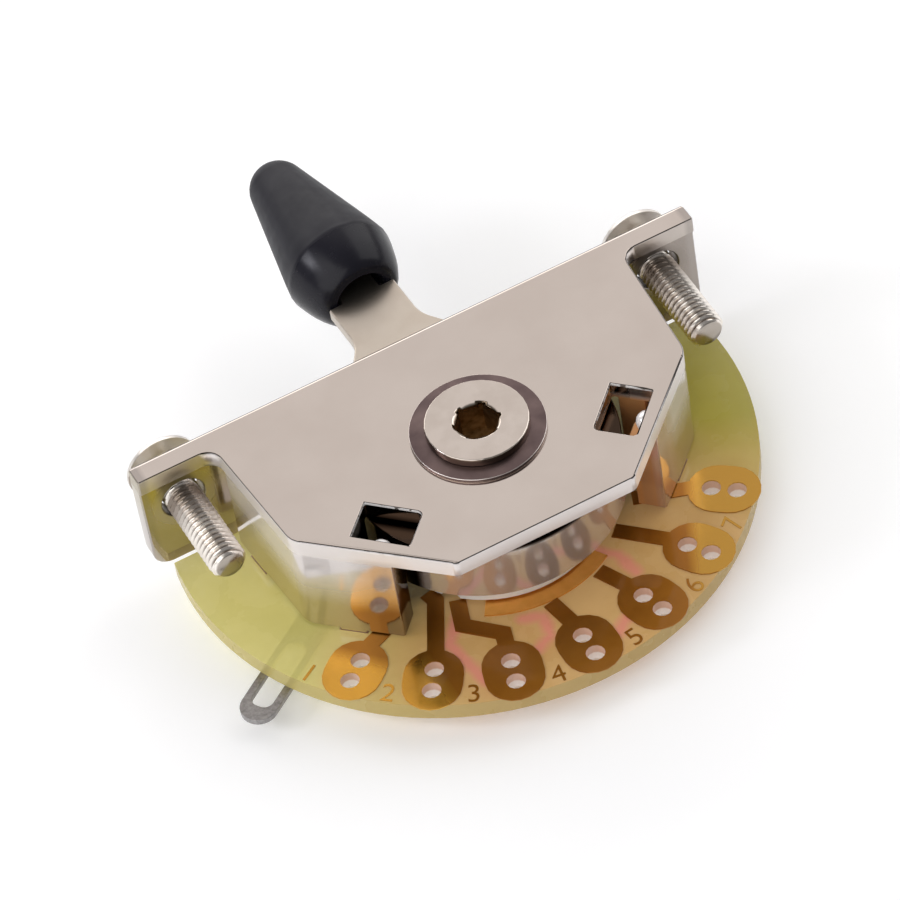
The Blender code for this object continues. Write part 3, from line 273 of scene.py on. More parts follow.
class Finish:
    """A material built up from a shader and the textures that drive it."""

    def __init__(self, name, colour, metallic=0.0, roughness=0.5, **sockets):
        self.material = bpy.data.materials.new(name)
        self.material.use_nodes = True
        self.tree = self.material.node_tree
        self.shader = self.tree.nodes["Principled BSDF"]
        self.shader.inputs["Base Color"].default_value = (*colour, 1.0)
        self.shader.inputs["Metallic"].default_value = metallic
        self.shader.inputs["Roughness"].default_value = roughness
        for key, value in sockets.items():
            self.shader.inputs[key.replace("_", " ")].default_value = value
        self.place = self.node("ShaderNodeTexCoord").outputs["Object"]
        self.normal = None

    def node(self, kind, **settings):
        made = self.tree.nodes.new(kind)
        for key, value in settings.items():
            setattr(made, key, value)
        return made

    def link(self, source, target):
        self.tree.links.new(source, target)

    def drive(self, name, value):
        """Let a value drive one of the shader's inputs."""
        self.link(value, self.shader.inputs[name])

    def axes(self):
        """The three coordinates of a place."""
        made = self.node("ShaderNodeSeparateXYZ")
        self.link(self.place, made.inputs[0])
        return made.outputs["X"], made.outputs["Y"], made.outputs["Z"]

    def noise(self, size, detail=3.0, roughness=0.5):
        """Noise whose grains are about a size across."""
        made = self.node("ShaderNodeTexNoise")
        made.inputs["Scale"].default_value = 1.0 / size
        made.inputs["Detail"].default_value = detail
        made.inputs["Roughness"].default_value = roughness
        self.link(self.place, made.inputs["Vector"])
        return made.outputs["Fac"]

    def remap(self, value, low, high, to_low=0.0, to_high=1.0):
        """A value brought from one range to another, clamped."""
        made = self.node("ShaderNodeMapRange")
        made.inputs["From Min"].default_value = low
        made.inputs["From Max"].default_value = high
        made.inputs["To Min"].default_value = to_low
        made.inputs["To Max"].default_value = to_high
        self.link(value, made.inputs["Value"])
        return made.outputs["Result"]

    def clouds(self, size, detail=3.0, roughness=0.5):
        """Noise spread over the whole range from 0 to 1."""
        return self.remap(self.noise(size, detail, roughness), 0.35, 0.65)

    def past(self, value, edge, soft, share=1.0):
        """A share that climbs from 0 where a value passes a soft edge."""
        return self.remap(value, edge - soft / 2.0, edge + soft / 2.0, 0.0, share)

    def short_of(self, value, edge, soft, share=1.0):
        """A share that drops to 0 where a value passes a soft edge."""
        return self.remap(value, edge - soft / 2.0, edge + soft / 2.0, share, 0.0)

    def math(self, operation, a, b=0.0):
        made = self.node("ShaderNodeMath", operation=operation)
        for socket, value in zip(made.inputs, (a, b)):
            if isinstance(value, (int, float)):
                socket.default_value = value
            else:
                self.link(value, socket)
        return made.outputs["Value"]

    def add(self, a, b):
        return self.math("ADD", a, b)

    def less(self, a, b):
        return self.math("SUBTRACT", a, b)

    def times(self, a, b):
        """The product of two values, which is the overlap of two shares."""
        return self.math("MULTIPLY", a, b)

    def either(self, a, b):
        """The larger of two shares."""
        return self.math("MAXIMUM", a, b)

    def mix(self, share, a, b):
        """One colour turned into another by a share."""
        made = self.node("ShaderNodeMix", data_type="RGBA")
        self.link(share, made.inputs["Factor"])
        for socket, value in ((made.inputs[6], a), (made.inputs[7], b)):
            if isinstance(value, tuple):
                socket.default_value = (*value, 1.0)
            else:
                self.link(value, socket)
        return made.outputs[2]

    def bump(self, value, strength, distance):
        made = self.node("ShaderNodeBump")
        made.inputs["Strength"].default_value = strength
        made.inputs["Distance"].default_value = distance
        self.link(value, made.inputs["Height"])
        if self.normal:
            self.link(self.normal, made.inputs["Normal"])
        self.normal = made.outputs["Normal"]
        self.drive("Normal", self.normal)

    def lean(self):
        """The upward part of a face's direction, 1 for level faces and 0 for walls."""
        made = self.node("ShaderNodeSeparateXYZ")
        self.link(self.node("ShaderNodeTexCoord").outputs["Normal"], made.inputs[0])
        return self.math("ABSOLUTE", made.outputs["Z"])

    def upright(self):
        """A share for the walls."""
        return self.remap(self.lean(), 0.35, 0.75, 1.0, 0.0)

    def slope(self):
        """A share for the narrow rounded edges, between level faces and walls."""
        lean = self.lean()
        return self.times(self.remap(lean, 0.30, 0.45), self.remap(lean, 0.90, 0.97, 1.0, 0.0))

    def distance_from(self, point, squeeze=(1.0, 1.0, 1.0)):
        """How far a place is from a point, in metres, with each axis squeezed."""
        mapping = self.node("ShaderNodeMapping")
        mapping.inputs["Location"].default_value = [-p * s for p, s in zip(point, squeeze)]
        mapping.inputs["Scale"].default_value = squeeze
        self.link(self.place, mapping.inputs["Vector"])
        length = self.node("ShaderNodeVectorMath", operation="LENGTH")
        self.link(mapping.outputs["Vector"], length.inputs[0])
        return length.outputs["Value"]

    def beside(self, x, y, start, end):
        """How far a place is from a line between two points of the board."""
        run = (end[0] - start[0], end[1] - start[1])
        length = math.hypot(*run)
        ahead = (run[0] / length, run[1] / length)
        dx = self.less(x, start[0] * MM)
        dy = self.less(y, start[1] * MM)
        along = self.add(self.times(dx, ahead[0]), self.times(dy, ahead[1]))
        aside = self.less(self.times(dx, ahead[1]), self.times(dy, ahead[0]))
        past = self.math("ABSOLUTE", self.less(along, length * MM / 2.0))
        past = self.either(self.less(past, length * MM / 2.0), 0.0)
        return self.math("SQRT", self.add(self.times(aside, aside), self.times(past, past)))

    def strokes(self, lines, core, reach, share):
        """Soft strokes along lines of points, with a ragged edge."""
        x, y = self.axes()[:2]
        near = None
        for points in lines:
            for start, end in zip(points, points[1:]):
                away = self.beside(x, y, start, end)
                near = self.math("MINIMUM", near, away) if near else away
        ragged = self.remap(self.noise(1.5 * MM), 0.3, 0.7, -0.15 * MM, 0.15 * MM)
        return self.remap(self.add(near, ragged), core, reach, share, 0.0)


def windows_zone(made):
    """A share for the part of the plate that holds both windows."""
    return made.short_of(made.distance_from(WINDOWS_CENTRE, WINDOWS_SQUEEZE), WINDOWS_REACH, WINDOWS_SOFT)


def punched_rim(made, z):
    """A share for the plate's outer cut edge."""
    walls = made.times(made.upright(), made.past(z, PLATE_TOP - PLATE_SHEET, 0.2 * MM))
    outer = made.past(made.distance_from((0.0, 0.0, 0.0), WINDOWS_SQUEEZE), 6.4 * MM, 0.4 * MM)
    return made.times(walls, outer)


def bright_spots(made, z, zone):
    """A share for the nibs and the top lips of the windows, painted white as a highlight."""
    lips = made.times(made.past(z, PLATE_TOP - LIP_DEPTH, 0.04 * MM), zone)
    broken = made.remap(made.noise(0.5 * MM), 0.38, 0.46, 0.2, 1.0)
    bright = made.times(made.times(lips, made.upright()), broken)
    for nib_x in (-NIB_X, NIB_X):
        nib = made.short_of(made.distance_from((nib_x, NIB_Y, NIB_Z)), NIB_REACH, 0.03 * MM)
        bright = made.either(bright, nib)
    return bright


def worn_rings(made):
    """Extra roughness around the screw holes of the ears."""
    rings = 0.0
    for hole_x in (-HOLE_X, HOLE_X):
        away = made.distance_from((hole_x, HOLE_Y, HOLE_Z))
        rings = made.either(rings, made.short_of(away, 2.7 * MM, 1.0 * MM, 0.3))
    return rings


def ear_colour(made, x, z):
    """What the ears mirror: the board at the left, and the dark side of the room at the right."""
    left = made.mix(made.past(z, EAR_MIRROR_Z, 3.0 * MM), (0.50, 0.45, 0.405), (0.52, 0.45, 0.19))
    return made.mix(made.past(x, 0.0, 4.0 * MM), left, (0.33, 0.29, 0.265))


def nickel_finish():
    """Bright nickel plate with painted light and shade: mirror faces, satin punched edges painted lighter,
    dark lines on the rounded edges, painted shade on the ears' sides and the return tabs, painted shade and
    a painted copper reflection inside the windows, white painted highlights on the lips and nibs, and a
    pale painted reflection on the skirts.
    """
    made = Finish("bright_nickel", (0.64, 0.575, 0.525), 1.0, 0.07)
    x, y, z = made.axes()
    upright = made.upright()
    zone = windows_zone(made)
    rim = punched_rim(made, z)
    bright = bright_spots(made, z, zone)
    right = made.past(x, 0.0, 4.0 * MM)
    inside = made.times(made.short_of(z, PLATE_TOP - 1.2 * MM, 0.6 * MM), zone)
    ears = made.times(upright, made.past(y, EAR_FACE_Y, 0.3 * MM))
    ear_sides = made.past(made.math("ABSOLUTE", x), EAR_SIDE_X, 0.4 * MM, 0.7)
    below = made.short_of(z, PLATE_TOP - PLATE_SHEET - 0.05 * MM, 0.1 * MM)
    returns = made.times(made.short_of(y, RETURNS_Y, 0.2 * MM), below)
    skirts = made.times(upright, made.short_of(y, EAR_FACE_Y - 0.3 * MM, 0.3 * MM))
    # Pale painted reflection on the skirts' walls, growing towards their tops, less metallic, and none near
    # the windows
    pale_reflection = made.times(skirts, made.past(z, PLATE_TOP - 5.25 * MM, 3.5 * MM, 0.55))
    pale_reflection = made.times(pale_reflection, made.less(1.0, zone))

    plate = made.mix(made.clouds(6.0 * MM, 4.0), (0.625, 0.555, 0.505), (0.66, 0.59, 0.54))
    plate = made.mix(upright, plate, (0.66, 0.595, 0.545))
    # The punched cut edge: its satin roughness is real, and its lighter colour is a painted highlight
    plate = made.mix(rim, plate, (0.80, 0.73, 0.68))
    # Painted reflection: the narrow rounded edges are painted near-black, as dark lines of the room
    # mirrored in them
    plate = made.mix(made.slope(), plate, (0.03, 0.024, 0.02))
    plate = made.mix(made.times(ears, 0.9), plate, ear_colour(made, x, z))
    # Painted shade on the outer sides of the ears
    plate = made.mix(ear_sides, plate, (0.42, 0.38, 0.355))
    # Painted shade on the walls inside the windows: near-black in the left one, and a painted copper
    # reflection, less metallic, in the right one
    plate = made.mix(inside, plate, made.mix(right, (0.05, 0.035, 0.028), (0.60, 0.29, 0.11)))
    # Painted shade on the return tabs below the plate, at the front
    plate = made.mix(made.times(returns, 0.3), plate, (0.30, 0.20, 0.14))
    plate = made.mix(pale_reflection, plate, (0.80, 0.765, 0.765))
    # Painted highlight: the nibs and the top lips of the windows are painted near-white and made less
    # metallic
    made.drive("Base Color", made.mix(bright, plate, (0.93, 0.91, 0.90)))

    dull = made.times(made.times(inside, right), 0.7)
    plain = made.either(made.either(made.times(bright, 0.75), pale_reflection), dull)
    made.drive("Metallic", made.less(1.0, plain))
    wear = made.remap(made.noise(1.2 * MM, 5.0), 0.35, 0.7, 0.045, 0.10)
    satin = made.add(made.times(rim, 0.24), made.times(upright, 0.03))
    made.drive("Roughness", made.add(made.add(wear, satin), worn_rings(made)))
    made.bump(made.noise(9.0 * MM, 2.0), 0.05, 0.05 * MM)
    pits = made.remap(made.noise(0.5 * MM, 2.0), 0.70, 0.74, 1.0, 0.0)
    made.bump(pits, 0.12, FINE_BUMP)
    return made.material


def turned_nickel_finish():
    """Nickel plate on the turned pivot screw, with painted shade on its walls and its socket's lip, and
    painted brown shade deep in its socket.
    """
    made = Finish("turned_nickel", (0.64, 0.575, 0.525), 1.0, 0.1)
    z = made.axes()[2]
    cloud = made.noise(1.5 * MM, 4.0)
    hole = made.short_of(made.distance_from((0.0, 0.0, 0.0), (1.0, 1.0, 0.0)), SOCKET_REACH, 0.15 * MM)
    socket = made.times(hole, made.short_of(z, SCREW_TOP - 0.375 * MM, 0.25 * MM))
    plate = made.mix(made.remap(cloud, 0.35, 0.65), (0.62, 0.55, 0.495), (0.67, 0.60, 0.545))
    # Painted shade on the screw's walls
    plate = made.mix(made.upright(), plate, (0.26, 0.21, 0.17))
    # Painted shade on the rounded lip of the socket
    plate = made.mix(made.times(hole, made.slope()), plate, (0.12, 0.09, 0.06))
    # Painted shade deep in the socket, brown like the board reflected in it
    socket_shade = made.mix(made.clouds(0.6 * MM, 4.0), (0.22, 0.135, 0.06), (0.44, 0.32, 0.19))
    made.drive("Base Color", made.mix(socket, plate, socket_shade))
    wear = made.remap(cloud, 0.3, 0.7, 0.06, 0.12)
    made.drive("Roughness", made.add(wear, made.times(socket, 0.25)))
    made.bump(made.noise(0.4 * MM), 0.06, FINE_BUMP)
    return made.material


def satin_nickel_finish():
    """The same plate on the lever: dull on the blade, with painted shade where the plate covers it, and a
    pale painted reflection on the drum in front.
    """
    made = Finish("satin_nickel", (0.58, 0.51, 0.43), 1.0, 0.3)
    y, z = made.axes()[1:]
    covered = made.short_of(y, SHADE_BACK_Y, SHADE_SOFT)
    top = made.past(z, DISC_TOP - 0.2 * MM, 0.2 * MM)
    painted_shade = made.times(covered, made.either(top, made.past(y, DRUM_FRONT_Y, SHADE_SOFT)))
    drum = made.times(made.upright(), made.short_of(y, DRUM_FRONT_Y, SHADE_SOFT, 0.24))
    plate = made.mix(made.clouds(2.5 * MM, 5.0), (0.57, 0.50, 0.425), (0.61, 0.545, 0.47))
    # Painted reflection on the drum in front: lighter where the plate covers the lever, and greyer and less
    # metallic on the drum's wall
    plate = made.mix(covered, plate, (0.66, 0.61, 0.57))
    plate = made.mix(drum, plate, (0.50, 0.48, 0.47))
    # Painted shade, near-black, where the plate covers the lever: on the disc's top and behind the drum's
    # front
    made.drive("Base Color", made.mix(painted_shade, plate, (0.05, 0.032, 0.022)))
    made.drive("Metallic", made.less(1.0, drum))
    made.drive("Roughness", made.remap(y, *BLADE_DULL_Y, 0.13, 0.30))
    made.bump(made.noise(0.25 * MM, 4.0), 0.10, FINE_BUMP)
    return made.material


def screw_finish(side):
    """Zinc plate on rolled threads, bright on the crests, with painted brown shade in the valleys,
    deepening towards the ear, and painted shade on the tip.
    """
    low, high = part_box(f"mounting_screw_{side}")
    centre = (low + high) / 2.0
    made = Finish(f"zinc_screw_{side}", (0.70, 0.64, 0.58), 1.0, 0.2)
    y = made.axes()[1]
    cloud = made.noise(1.1 * MM, 4.0)
    reach = made.distance_from((centre.x, 0.0, centre.z), (1.0, 0.0, 1.0))
    shank = made.past(y, low.y + 0.225 * MM, 0.15 * MM)
    # Painted shade: brown in the thread's valleys, deepening towards the ear, and none where the ear hides
    # the screw
    valley = made.times(shank, made.short_of(reach, SCREW_RADIUS - 0.23 * MM, 0.14 * MM))
    shade = made.either(valley, made.past(y, SCREW_SHADE_Y, SCREW_SHADE_SOFT, 0.85))
    shade = made.times(shade, made.short_of(y, SCREW_HIDDEN_Y, 0.2 * MM))
    head = made.past(y, HEAD_FRONT_Y, 0.3 * MM)
    metal = made.mix(made.remap(cloud, 0.35, 0.65), (0.86, 0.80, 0.73), (0.96, 0.91, 0.85))
    metal = made.mix(shade, metal, (0.13, 0.09, 0.062))
    # Painted shade on the tip's end face
    metal = made.mix(made.short_of(y, low.y + 0.05 * MM, 0.1 * MM, 0.9), metal, (0.38, 0.335, 0.29))
    made.drive("Base Color", made.mix(head, metal, (0.80, 0.76, 0.71)))
    wear = made.remap(cloud, 0.3, 0.7, 0.18, 0.30)
    made.drive("Roughness", made.add(wear, made.times(head, 0.12)))
    made.bump(made.noise(0.2 * MM), 0.08, FINE_BUMP)
    return made.material


def washer_finish():
    """Steel coloured purple-brown by heat, with a painted highlight on its rounded edges."""
    made = Finish("heat_coloured_steel", (0.40, 0.26, 0.24), 1.0, 0.34)
    cloud = made.noise(2.4 * MM)
    scale = made.mix(made.remap(cloud, 0.35, 0.65), (0.11, 0.078, 0.078), (0.175, 0.126, 0.12))
    # Painted highlight on the rounded edges
    made.drive("Base Color", made.mix(made.slope(), scale, (0.75, 0.68, 0.64)))
    made.drive("Roughness", made.remap(cloud, 0.3, 0.7, 0.30, 0.38))
    made.bump(made.noise(0.3 * MM), 0.05, FINE_BUMP)
    return made.material


def knob_finish():
    """Black moulded plastic, satin from handling, with a glossier shoulder."""
    made = Finish("black_plastic", (0.010, 0.0098, 0.0125), 0.0, 0.42, Specular_IOR_Level=0.22)
    black = made.mix(made.clouds(5.0 * MM, 4.0), (0.0080, 0.0078, 0.0125), (0.0112, 0.0108, 0.0165))
    made.drive("Base Color", black)
    shoulder = made.remap(made.axes()[1], *KNOB_SHOULDER_Y, 0.25, 0.48)
    wear = made.remap(made.noise(0.9 * MM, 4.0), 0.3, 0.7, -0.04, 0.04)
    made.drive("Roughness", made.add(shoulder, wear))
    made.bump(made.noise(0.12 * MM, 2.0), 0.06, FINE_BUMP)
    return made.material


def plastic_finish(name, colour, dark, light, size, roughness):
    """A pale moulded plastic with clouds of a size."""
    made = Finish(name, colour, 0.0, roughness)
    made.drive("Base Color", made.mix(made.remap(made.noise(size), 0.3, 0.7), dark, light))
    made.bump(made.noise(0.3 * MM, 2.0), 0.05, FINE_BUMP)
    return made.material


def board_ground(made, x, cloud):
    """The laminate's colours: green at the sides, with painted shade in tan in front of the rotor and in
    olive at the right, and red ink.
    """
    ripple = made.times(made.noise(6.0 * MM), 3.0 * MM)
    front = made.add(made.distance_from(TAN_CENTRE, TAN_SQUEEZE), ripple)
    green = made.mix(cloud, (0.69, 0.625, 0.19), (0.75, 0.68, 0.235))
    olive = made.mix(cloud, (0.40, 0.345, 0.035), (0.44, 0.38, 0.045))
    tan = made.mix(cloud, (0.59, 0.35, 0.11), (0.67, 0.42, 0.16))
    # Painted shade of the plate on the board: olive towards the right, and tan in front of the rotor
    sides = made.mix(made.past(x, OLIVE_X, 12.0 * MM), green, olive)
    ground = made.mix(made.short_of(front, TAN_REACH, 7.0 * MM), sides, tan)
    ink = made.strokes(INK_STROKES, INK_CORE, INK_REACH, 0.78)
    return made.mix(ink, ground, (0.80, 0.25, 0.20))


def board_finish():
    """Translucent glass fibre laminate with a faint painted glow, painted shade under the plate, and a
    painted white glow low on the walls of its holes.
    """
    # The faint emission in the board's own colours is a painted glow, standing in for light through the
    # laminate
    made = Finish("fibre_laminate", (0.60, 0.58, 0.18), 0.0, 0.3,
                  Alpha=0.74, Specular_IOR_Level=0.25, Emission_Strength=0.11)
    x, y, z = made.axes()
    upright = made.upright()
    cloud = made.clouds(4.0 * MM, 4.0)
    ground = board_ground(made, x, cloud)
    ground = made.mix(made.times(upright, 0.72), ground, (0.42, 0.33, 0.12))
    # The walls of the holes: tan above, and near-white below as a painted glow for the lit floor seen
    # through them
    bores = made.short_of(made.distance_from(BOARD_CENTRE, (1.0, 1.0, 0.0)), BORES_REACH, 0.3 * MM)
    bores = made.times(made.times(upright, bores), made.short_of(y, BORES_BACK_Y, 0.3 * MM))
    wall = made.past(z, BORE_STEP_Z, 0.15 * MM)
    ground = made.mix(bores, ground, made.mix(wall, (1.0, 0.96, 0.95), (0.70, 0.46, 0.36)))
    # Painted shade on the board under the plate, in the middle and towards the skirts
    middle = made.short_of(made.distance_from(*UNDER_MIDDLE), UNDER_REACH, 1.0 * MM, 0.8)
    sides = made.short_of(made.distance_from(*UNDER_SIDES), UNDER_REACH, 1.0 * MM, 0.85)
    under = made.either(middle, sides)
    ground = made.mix(under, ground, (0.10, 0.075, 0.03))
    made.drive("Base Color", ground)
    made.drive("Emission Color", ground)
    weave = made.node("ShaderNodeTexWave", wave_type="BANDS", bands_direction="X")
    weave.inputs["Scale"].default_value = 1.0 / (1.4 * MM)
    weave.inputs["Distortion"].default_value = 1.5
    made.link(made.place, weave.inputs["Vector"])
    made.bump(weave.outputs["Fac"], 0.03, FINE_BUMP)
    made.drive("Roughness", made.remap(cloud, 0.0, 1.0, 0.22, 0.34))
    return made.material


def copper_finish():
    """Copper foil under clear lacquer, gold at the sides and brown in the plate's shade."""
    made = Finish("lacquered_copper", (0.60, 0.33, 0.06), 1.0, 0.12, Coat_Weight=0.25, Coat_Roughness=0.04)
    x, y = made.axes()[:2]
    cloud = made.clouds(1.8 * MM, 5.0, 0.6)
    gold = made.mix(cloud, (0.62, 0.325, 0.042), (0.67, 0.355, 0.05))
    gold = made.mix(made.past(x, COPPER_DEEP_GOLD_X, 6.0 * MM), gold, (0.50, 0.27, 0.045))
    brown = made.mix(cloud, (0.34, 0.135, 0.016), (0.37, 0.15, 0.019))
    first_slant = made.add(x, made.times(y, COPPER_FIRST_SLANT))
    first_pad = made.times(made.past(first_slant, COPPER_FIRST_PAD, 1.7 * MM, 0.85),
                           made.past(y, COPPER_FIRST_Y, 0.5 * MM))
    left = made.either(made.past(x, COPPER_LEFT_X, 1.4 * MM), first_pad)
    right_slant = made.less(x, made.times(y, COPPER_RIGHT_SLANT))
    right = made.short_of(right_slant, COPPER_RIGHT, 1.2 * MM)
    shaded = made.times(left, right)
    made.drive("Base Color", made.mix(shaded, gold, brown))
    wear = made.remap(made.noise(0.9 * MM), 0.3, 0.7, 0.18, 0.23)
    made.drive("Roughness", made.add(wear, made.times(shaded, 0.24)))
    made.bump(made.noise(0.8 * MM, 2.0), 0.012, FINE_BUMP)
    return made.material


def tin_finish():
    """Dull tinned steel with a crystalline mottle."""
    made = Finish("dull_tin", (0.42, 0.40, 0.39), 1.0, 0.38)
    cell = made.node("ShaderNodeTexVoronoi", feature="F1")
    cell.inputs["Scale"].default_value = 1.0 / (0.35 * MM)
    made.link(made.place, cell.inputs["Vector"])
    grain = made.noise(0.4 * MM, 4.0, 0.7)
    mottle = made.mix(made.remap(grain, 0.35, 0.65), (0.25, 0.24, 0.235), (0.42, 0.405, 0.40))
    made.drive("Base Color", mottle)
    made.drive("Roughness", made.remap(grain, 0.3, 0.7, 0.28, 0.5))
    made.bump(cell.outputs["Distance"], 0.12, FINE_BUMP)
    return made.material


def metal_finish(name, dark, light, roughness):
    """A plain turned or rolled metal for the small parts below and inside."""
    made = Finish(name, dark, 1.0, roughness)
    cloud = made.noise(0.8 * MM, 4.0)
    made.drive("Base Color", made.mix(made.remap(cloud, 0.35, 0.65), dark, light))
    made.drive("Roughness", made.remap(cloud, 0.3, 0.7, roughness * 0.8, roughness * 1.3))
    made.bump(made.noise(0.25 * MM), 0.1, FINE_BUMP)
    return made.material


def thread_ring(bm, x, z, tip_y, along):
    """The points around a thread at one place along it."""
    ring = []
    for step in range(THREAD_STEPS):
        turn = step / THREAD_STEPS
        angle = 2.0 * math.pi * turn
        valley = 0.5 - 0.5 * math.cos(2.0 * math.pi * (along / THREAD_PITCH - turn))
        reach = SCREW_RADIUS - THREAD_DEPTH * valley ** THREAD_CREST
        reach = min(reach, SCREW_RADIUS - THREAD_CHAMFER + along)
        ring.append(bm.verts.new((x + reach * math.cos(angle), tip_y + along, z + reach * math.sin(angle))))
    return ring


def close_rings(bm, rings):
    """Join rings of points into one closed skin."""
    count = len(rings[0])
    for near, far in zip(rings, rings[1:]):
        for j in range(count):
            k = (j + 1) % count
            bm.faces.new((near[j], far[j], far[k], near[k]))
    bm.faces.new(rings[0])
    bm.faces.new(list(reversed(rings[-1])))


def add_thread(bm, x, z, tip_y, end_y):
    """A rolled thread along Y with a chamfered tip and closed ends."""
    run = end_y - tip_y
    count = int(round(run / THREAD_PITCH * THREAD_SAMPLES))
    close_rings(bm, [thread_ring(bm, x, z, tip_y, run * i / count) for i in range(count + 1)])


def keep_head(bm, neck_y):
    """Cut the CAD's plain shank away, and close the cut."""
    every = list(bm.verts) + list(bm.edges) + list(bm.faces)
    cut = bmesh.ops.bisect_plane(bm, geom=every, plane_co=(0.0, neck_y + HEAD_CUT, 0.0),
                                 plane_no=(0.0, 1.0, 0.0), clear_inner=True)
    rim = [item for item in cut["geom_cut"] if isinstance(item, bmesh.types.BMEdge)]
    bmesh.ops.holes_fill(bm, edges=rim)


def make_screw(side, material):
    """A mounting screw with a real thread in place of the CAD's plain shank."""
    node = f"mounting_screw_{side}"
    low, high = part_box(node)
    centre = (low + high) / 2.0
    neck_y = PLATE_HIGH.y + HEAD_STANDOFF
    bm = welded(node)
    keep_head(bm, neck_y)
    add_thread(bm, centre.x, centre.z, low.y, neck_y + HEAD_OVERLAP)
    bmesh.ops.recalc_face_normals(bm, faces=bm.faces)
    smooth_faces(bm, SHARP_SCREW)
    name = f"{node}_finish"
    piece = place(name, mesh_from(bm, name), "housing", material)
    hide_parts(node)


def root_outline():
    """The ear root's face in X and Z, with its low inner corner rounded."""
    near, far = ROOT_X
    low, high = ROOT_Z
    outline = [(near, high), (far, high), (far, low)]
    for step in range(ROOT_CORNER_STEPS + 1):
        angle = math.radians(270.0 - 90.0 * step / ROOT_CORNER_STEPS)
        outline.append((near + ROOT_CORNER + ROOT_CORNER * math.cos(angle),
                        low + ROOT_CORNER + ROOT_CORNER * math.sin(angle)))
    return outline


def make_root(side, material):
    """The inner root of an ear, which closes the corner behind its skirt."""
    turn = -1.0 if side == "left" else 1.0
    bm = bmesh.new()
    close_rings(bm, [[bm.verts.new((turn * x, y, z)) for x, z in root_outline()] for y in ROOT_Y])
    bmesh.ops.recalc_face_normals(bm, faces=bm.faces)
    smooth_faces(bm, SHARP_ROOT)
    name = f"ear_root_{side}"
    place(name, mesh_from(bm, name), "housing", material)


def digit_mesh(number):
    """A number as a thin plate, lying flat around the origin."""
    curve = bpy.data.curves.new("digit", "FONT")
    curve.body = str(number)
    curve.size = NUMBER_HEIGHT / DIGIT_SHARE
    curve.offset = -NUMBER_THINNING
    curve.align_x = "CENTER"
    curve.align_y = "CENTER"
    curve.extrude = NUMBER_THICKNESS / 2.0
    curve.resolution_u = NUMBER_CURVE_STEPS
    text = bpy.data.objects.new("digit", curve)
    bpy.context.scene.collection.objects.link(text)
    bpy.context.view_layer.update()
    mesh = bpy.data.meshes.new_from_object(text.evaluated_get(bpy.context.evaluated_depsgraph_get()))
    bpy.data.objects.remove(text)
    return mesh


def make_number(number, material):
    """A pad's number, etched beside it and turned with it."""
    angle = math.radians(PAD_FIRST + PAD_PITCH * (number - 1) - NUMBER_LEAD)
    spot = BOARD_CENTRE + NUMBER_RADIUS * Vector((math.cos(angle), math.sin(angle), 0.0))
    spot.z = BOARD_TOP + NUMBER_THICKNESS / 2.0
    mesh = digit_mesh(number)
    mesh.transform(Matrix.Translation(spot) @ Matrix.Rotation(angle + math.pi / 2.0, 4, "Z"))
    place(f"pad_number_{number}", mesh, "housing", material)


def make_camera():
    """The camera, looking from the photograph's place."""
    data = bpy.data.cameras.new("camera")
    data.lens = CAMERA_LENS
    data.sensor_width = CAMERA_SENSOR
    data.clip_start, data.clip_end = CAMERA_CLIP
    camera = bpy.data.objects.new("camera", data)
    bpy.context.scene.collection.objects.link(camera)
    eye = Vector(CAMERA_AT) * MM
    look = (Vector(CAMERA_AIM) * MM - eye).to_track_quat("-Z", "Y").to_matrix().to_4x4()
    roll = Matrix.Rotation(math.radians(CAMERA_ROLL), 4, "Z")
    camera.matrix_world = Matrix.Translation(eye) @ look @ roll
    bpy.context.scene.camera = camera


def make_floor():
    """A plain white floor with a faint glow."""
    bm = bmesh.new()
    bmesh.ops.create_grid(bm, x_segments=1, y_segments=1, size=FLOOR_HALF)
    floor = bpy.data.objects.new("floor", mesh_from(bm, "floor"))
    made = Finish("floor_white", FLOOR_COLOUR, 0.0, 0.9, Emission_Strength=FLOOR_GLOW,
                  Emission_Color=(*FLOOR_GLOW_COLOUR, 1.0))
    floor.data.materials.append(made.material)
    bpy.context.scene.collection.objects.link(floor)


def make_lamp(name, spot, size, power, colour):
    """A soft box that faces the object."""
    data = bpy.data.lights.new(name, "AREA")
    data.shape = "RECTANGLE"
    data.size, data.size_y = size
    data.energy = power
    data.color = colour
    lamp = bpy.data.objects.new(name, data)
    bpy.context.scene.collection.objects.link(lamp)
    lamp.location = spot
    lamp.rotation_euler = (-Vector(spot)).to_track_quat("-Z", "Y").to_euler()


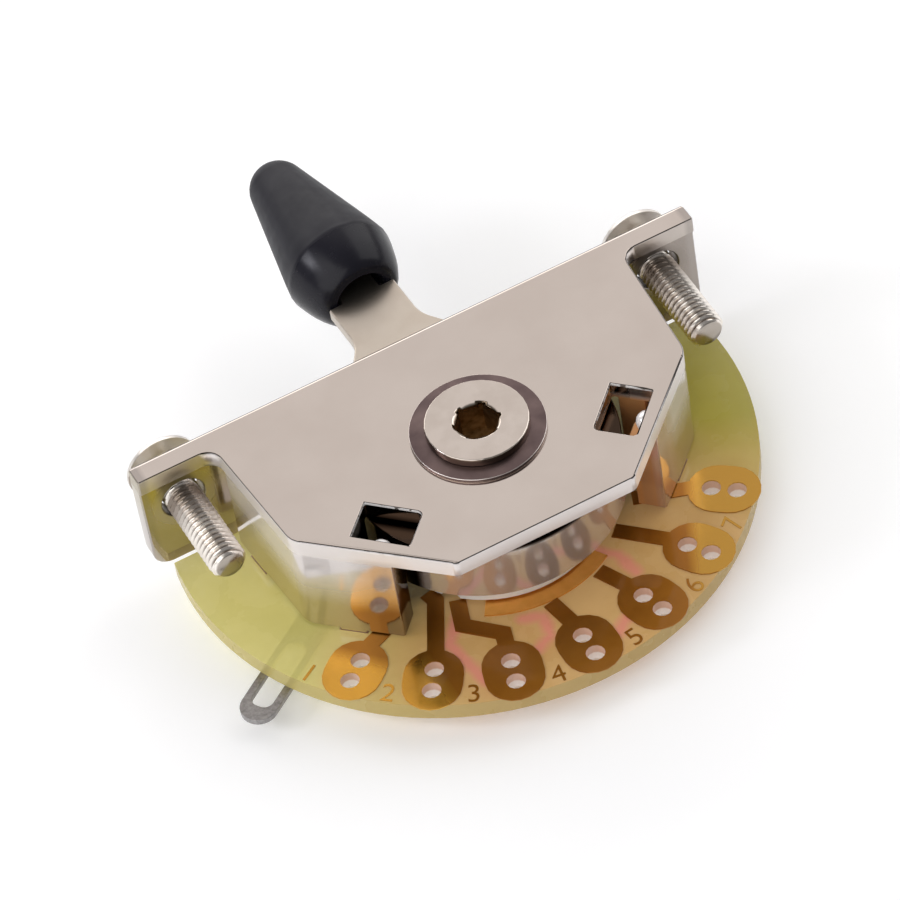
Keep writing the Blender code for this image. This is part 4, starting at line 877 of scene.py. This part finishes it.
def make_world():
    """Studio surroundings: pale above and behind, dark on the camera's side."""
    world = bpy.data.worlds.new("studio")
    bpy.context.scene.world = world
    world.use_nodes = True
    tree = world.node_tree
    back = tree.nodes["Background"]
    back.inputs["Strength"].default_value = 1.0
    coords = tree.nodes.new("ShaderNodeTexCoord")
    axis = tree.nodes.new("ShaderNodeVectorMath")
    axis.operation = "DOT_PRODUCT"
    axis.inputs[1].default_value = SKY_AXIS
    half = tree.nodes.new("ShaderNodeMapRange")
    half.inputs["From Min"].default_value = -1.0
    ramp = tree.nodes.new("ShaderNodeValToRGB")
    while len(ramp.color_ramp.elements) < len(SKY_STOPS):
        ramp.color_ramp.elements.new(0.5)
    for element, (spot, colour) in zip(ramp.color_ramp.elements, SKY_STOPS):
        element.position = spot
        element.color = (*colour, 1.0)
    tree.links.new(coords.outputs["Generated"], axis.inputs[0])
    tree.links.new(axis.outputs["Value"], half.inputs["Value"])
    tree.links.new(half.outputs["Result"], ramp.inputs["Fac"])
    tree.links.new(ramp.outputs["Color"], back.inputs["Color"])


def make_stage():
    """The floor, the surroundings, the lamps, the camera and plain colours."""
    make_floor()
    make_world()
    for lamp in LAMPS:
        make_lamp(*lamp)
    make_camera()
    settings = bpy.context.scene.view_settings
    settings.view_transform = "Standard"
    settings.look = "None"


nickel = nickel_finish()
copper = copper_finish()
bronze = metal_finish("rolled_bronze", (0.55, 0.33, 0.14), (0.72, 0.47, 0.24), 0.3)
steel = metal_finish("bright_steel", (0.62, 0.61, 0.60), (0.75, 0.74, 0.73), 0.2)
brass = metal_finish("turned_brass", (0.68, 0.50, 0.20), (0.80, 0.62, 0.30), 0.25)
track_copper = metal_finish("track_copper", (0.86, 0.43, 0.10), (0.94, 0.50, 0.13), 0.42)
tin = tin_finish()
nylon = plastic_finish("natural_nylon", (0.80, 0.77, 0.68), (0.76, 0.73, 0.64), (0.84, 0.81, 0.73),
                       1.5 * MM, 0.5)
white = plastic_finish("white_plastic", (0.86, 0.85, 0.82), (0.84, 0.83, 0.79), (0.89, 0.88, 0.86),
                       2.0 * MM, 0.35)

dress("bracket", nickel)
dress("pivot_screw", turned_nickel_finish())
dress("lever", satin_nickel_finish())
dress("lever_knob", knob_finish())
dress("spring_washer", washer_finish())
dress("slip_washer", nylon)
dress("contact_carrier", white)
dress("circuit_board", board_finish())
dress("ground_lug", tin)
dress("lug_rivet", tin)
dress("lock_washer", steel)
dress("pivot_nut", brass)
for side in ("left", "right"):
    make_screw(side, screw_finish(side))
    make_root(side, nickel)
    paint(f"detent_ball_{side}", steel)
    paint(f"detent_spring_{side}", bronze)
for number in range(1, WIPER_COUNT + 1):
    paint(f"contact_wiper_{number}", bronze)
for number in range(1, PAD_COUNT + 1):
    paint(f"solder_pad_{number}", copper)
    make_number(number, copper)
for node in ("outer_track", "common_ring"):
    paint(node, track_copper)
make_stage()
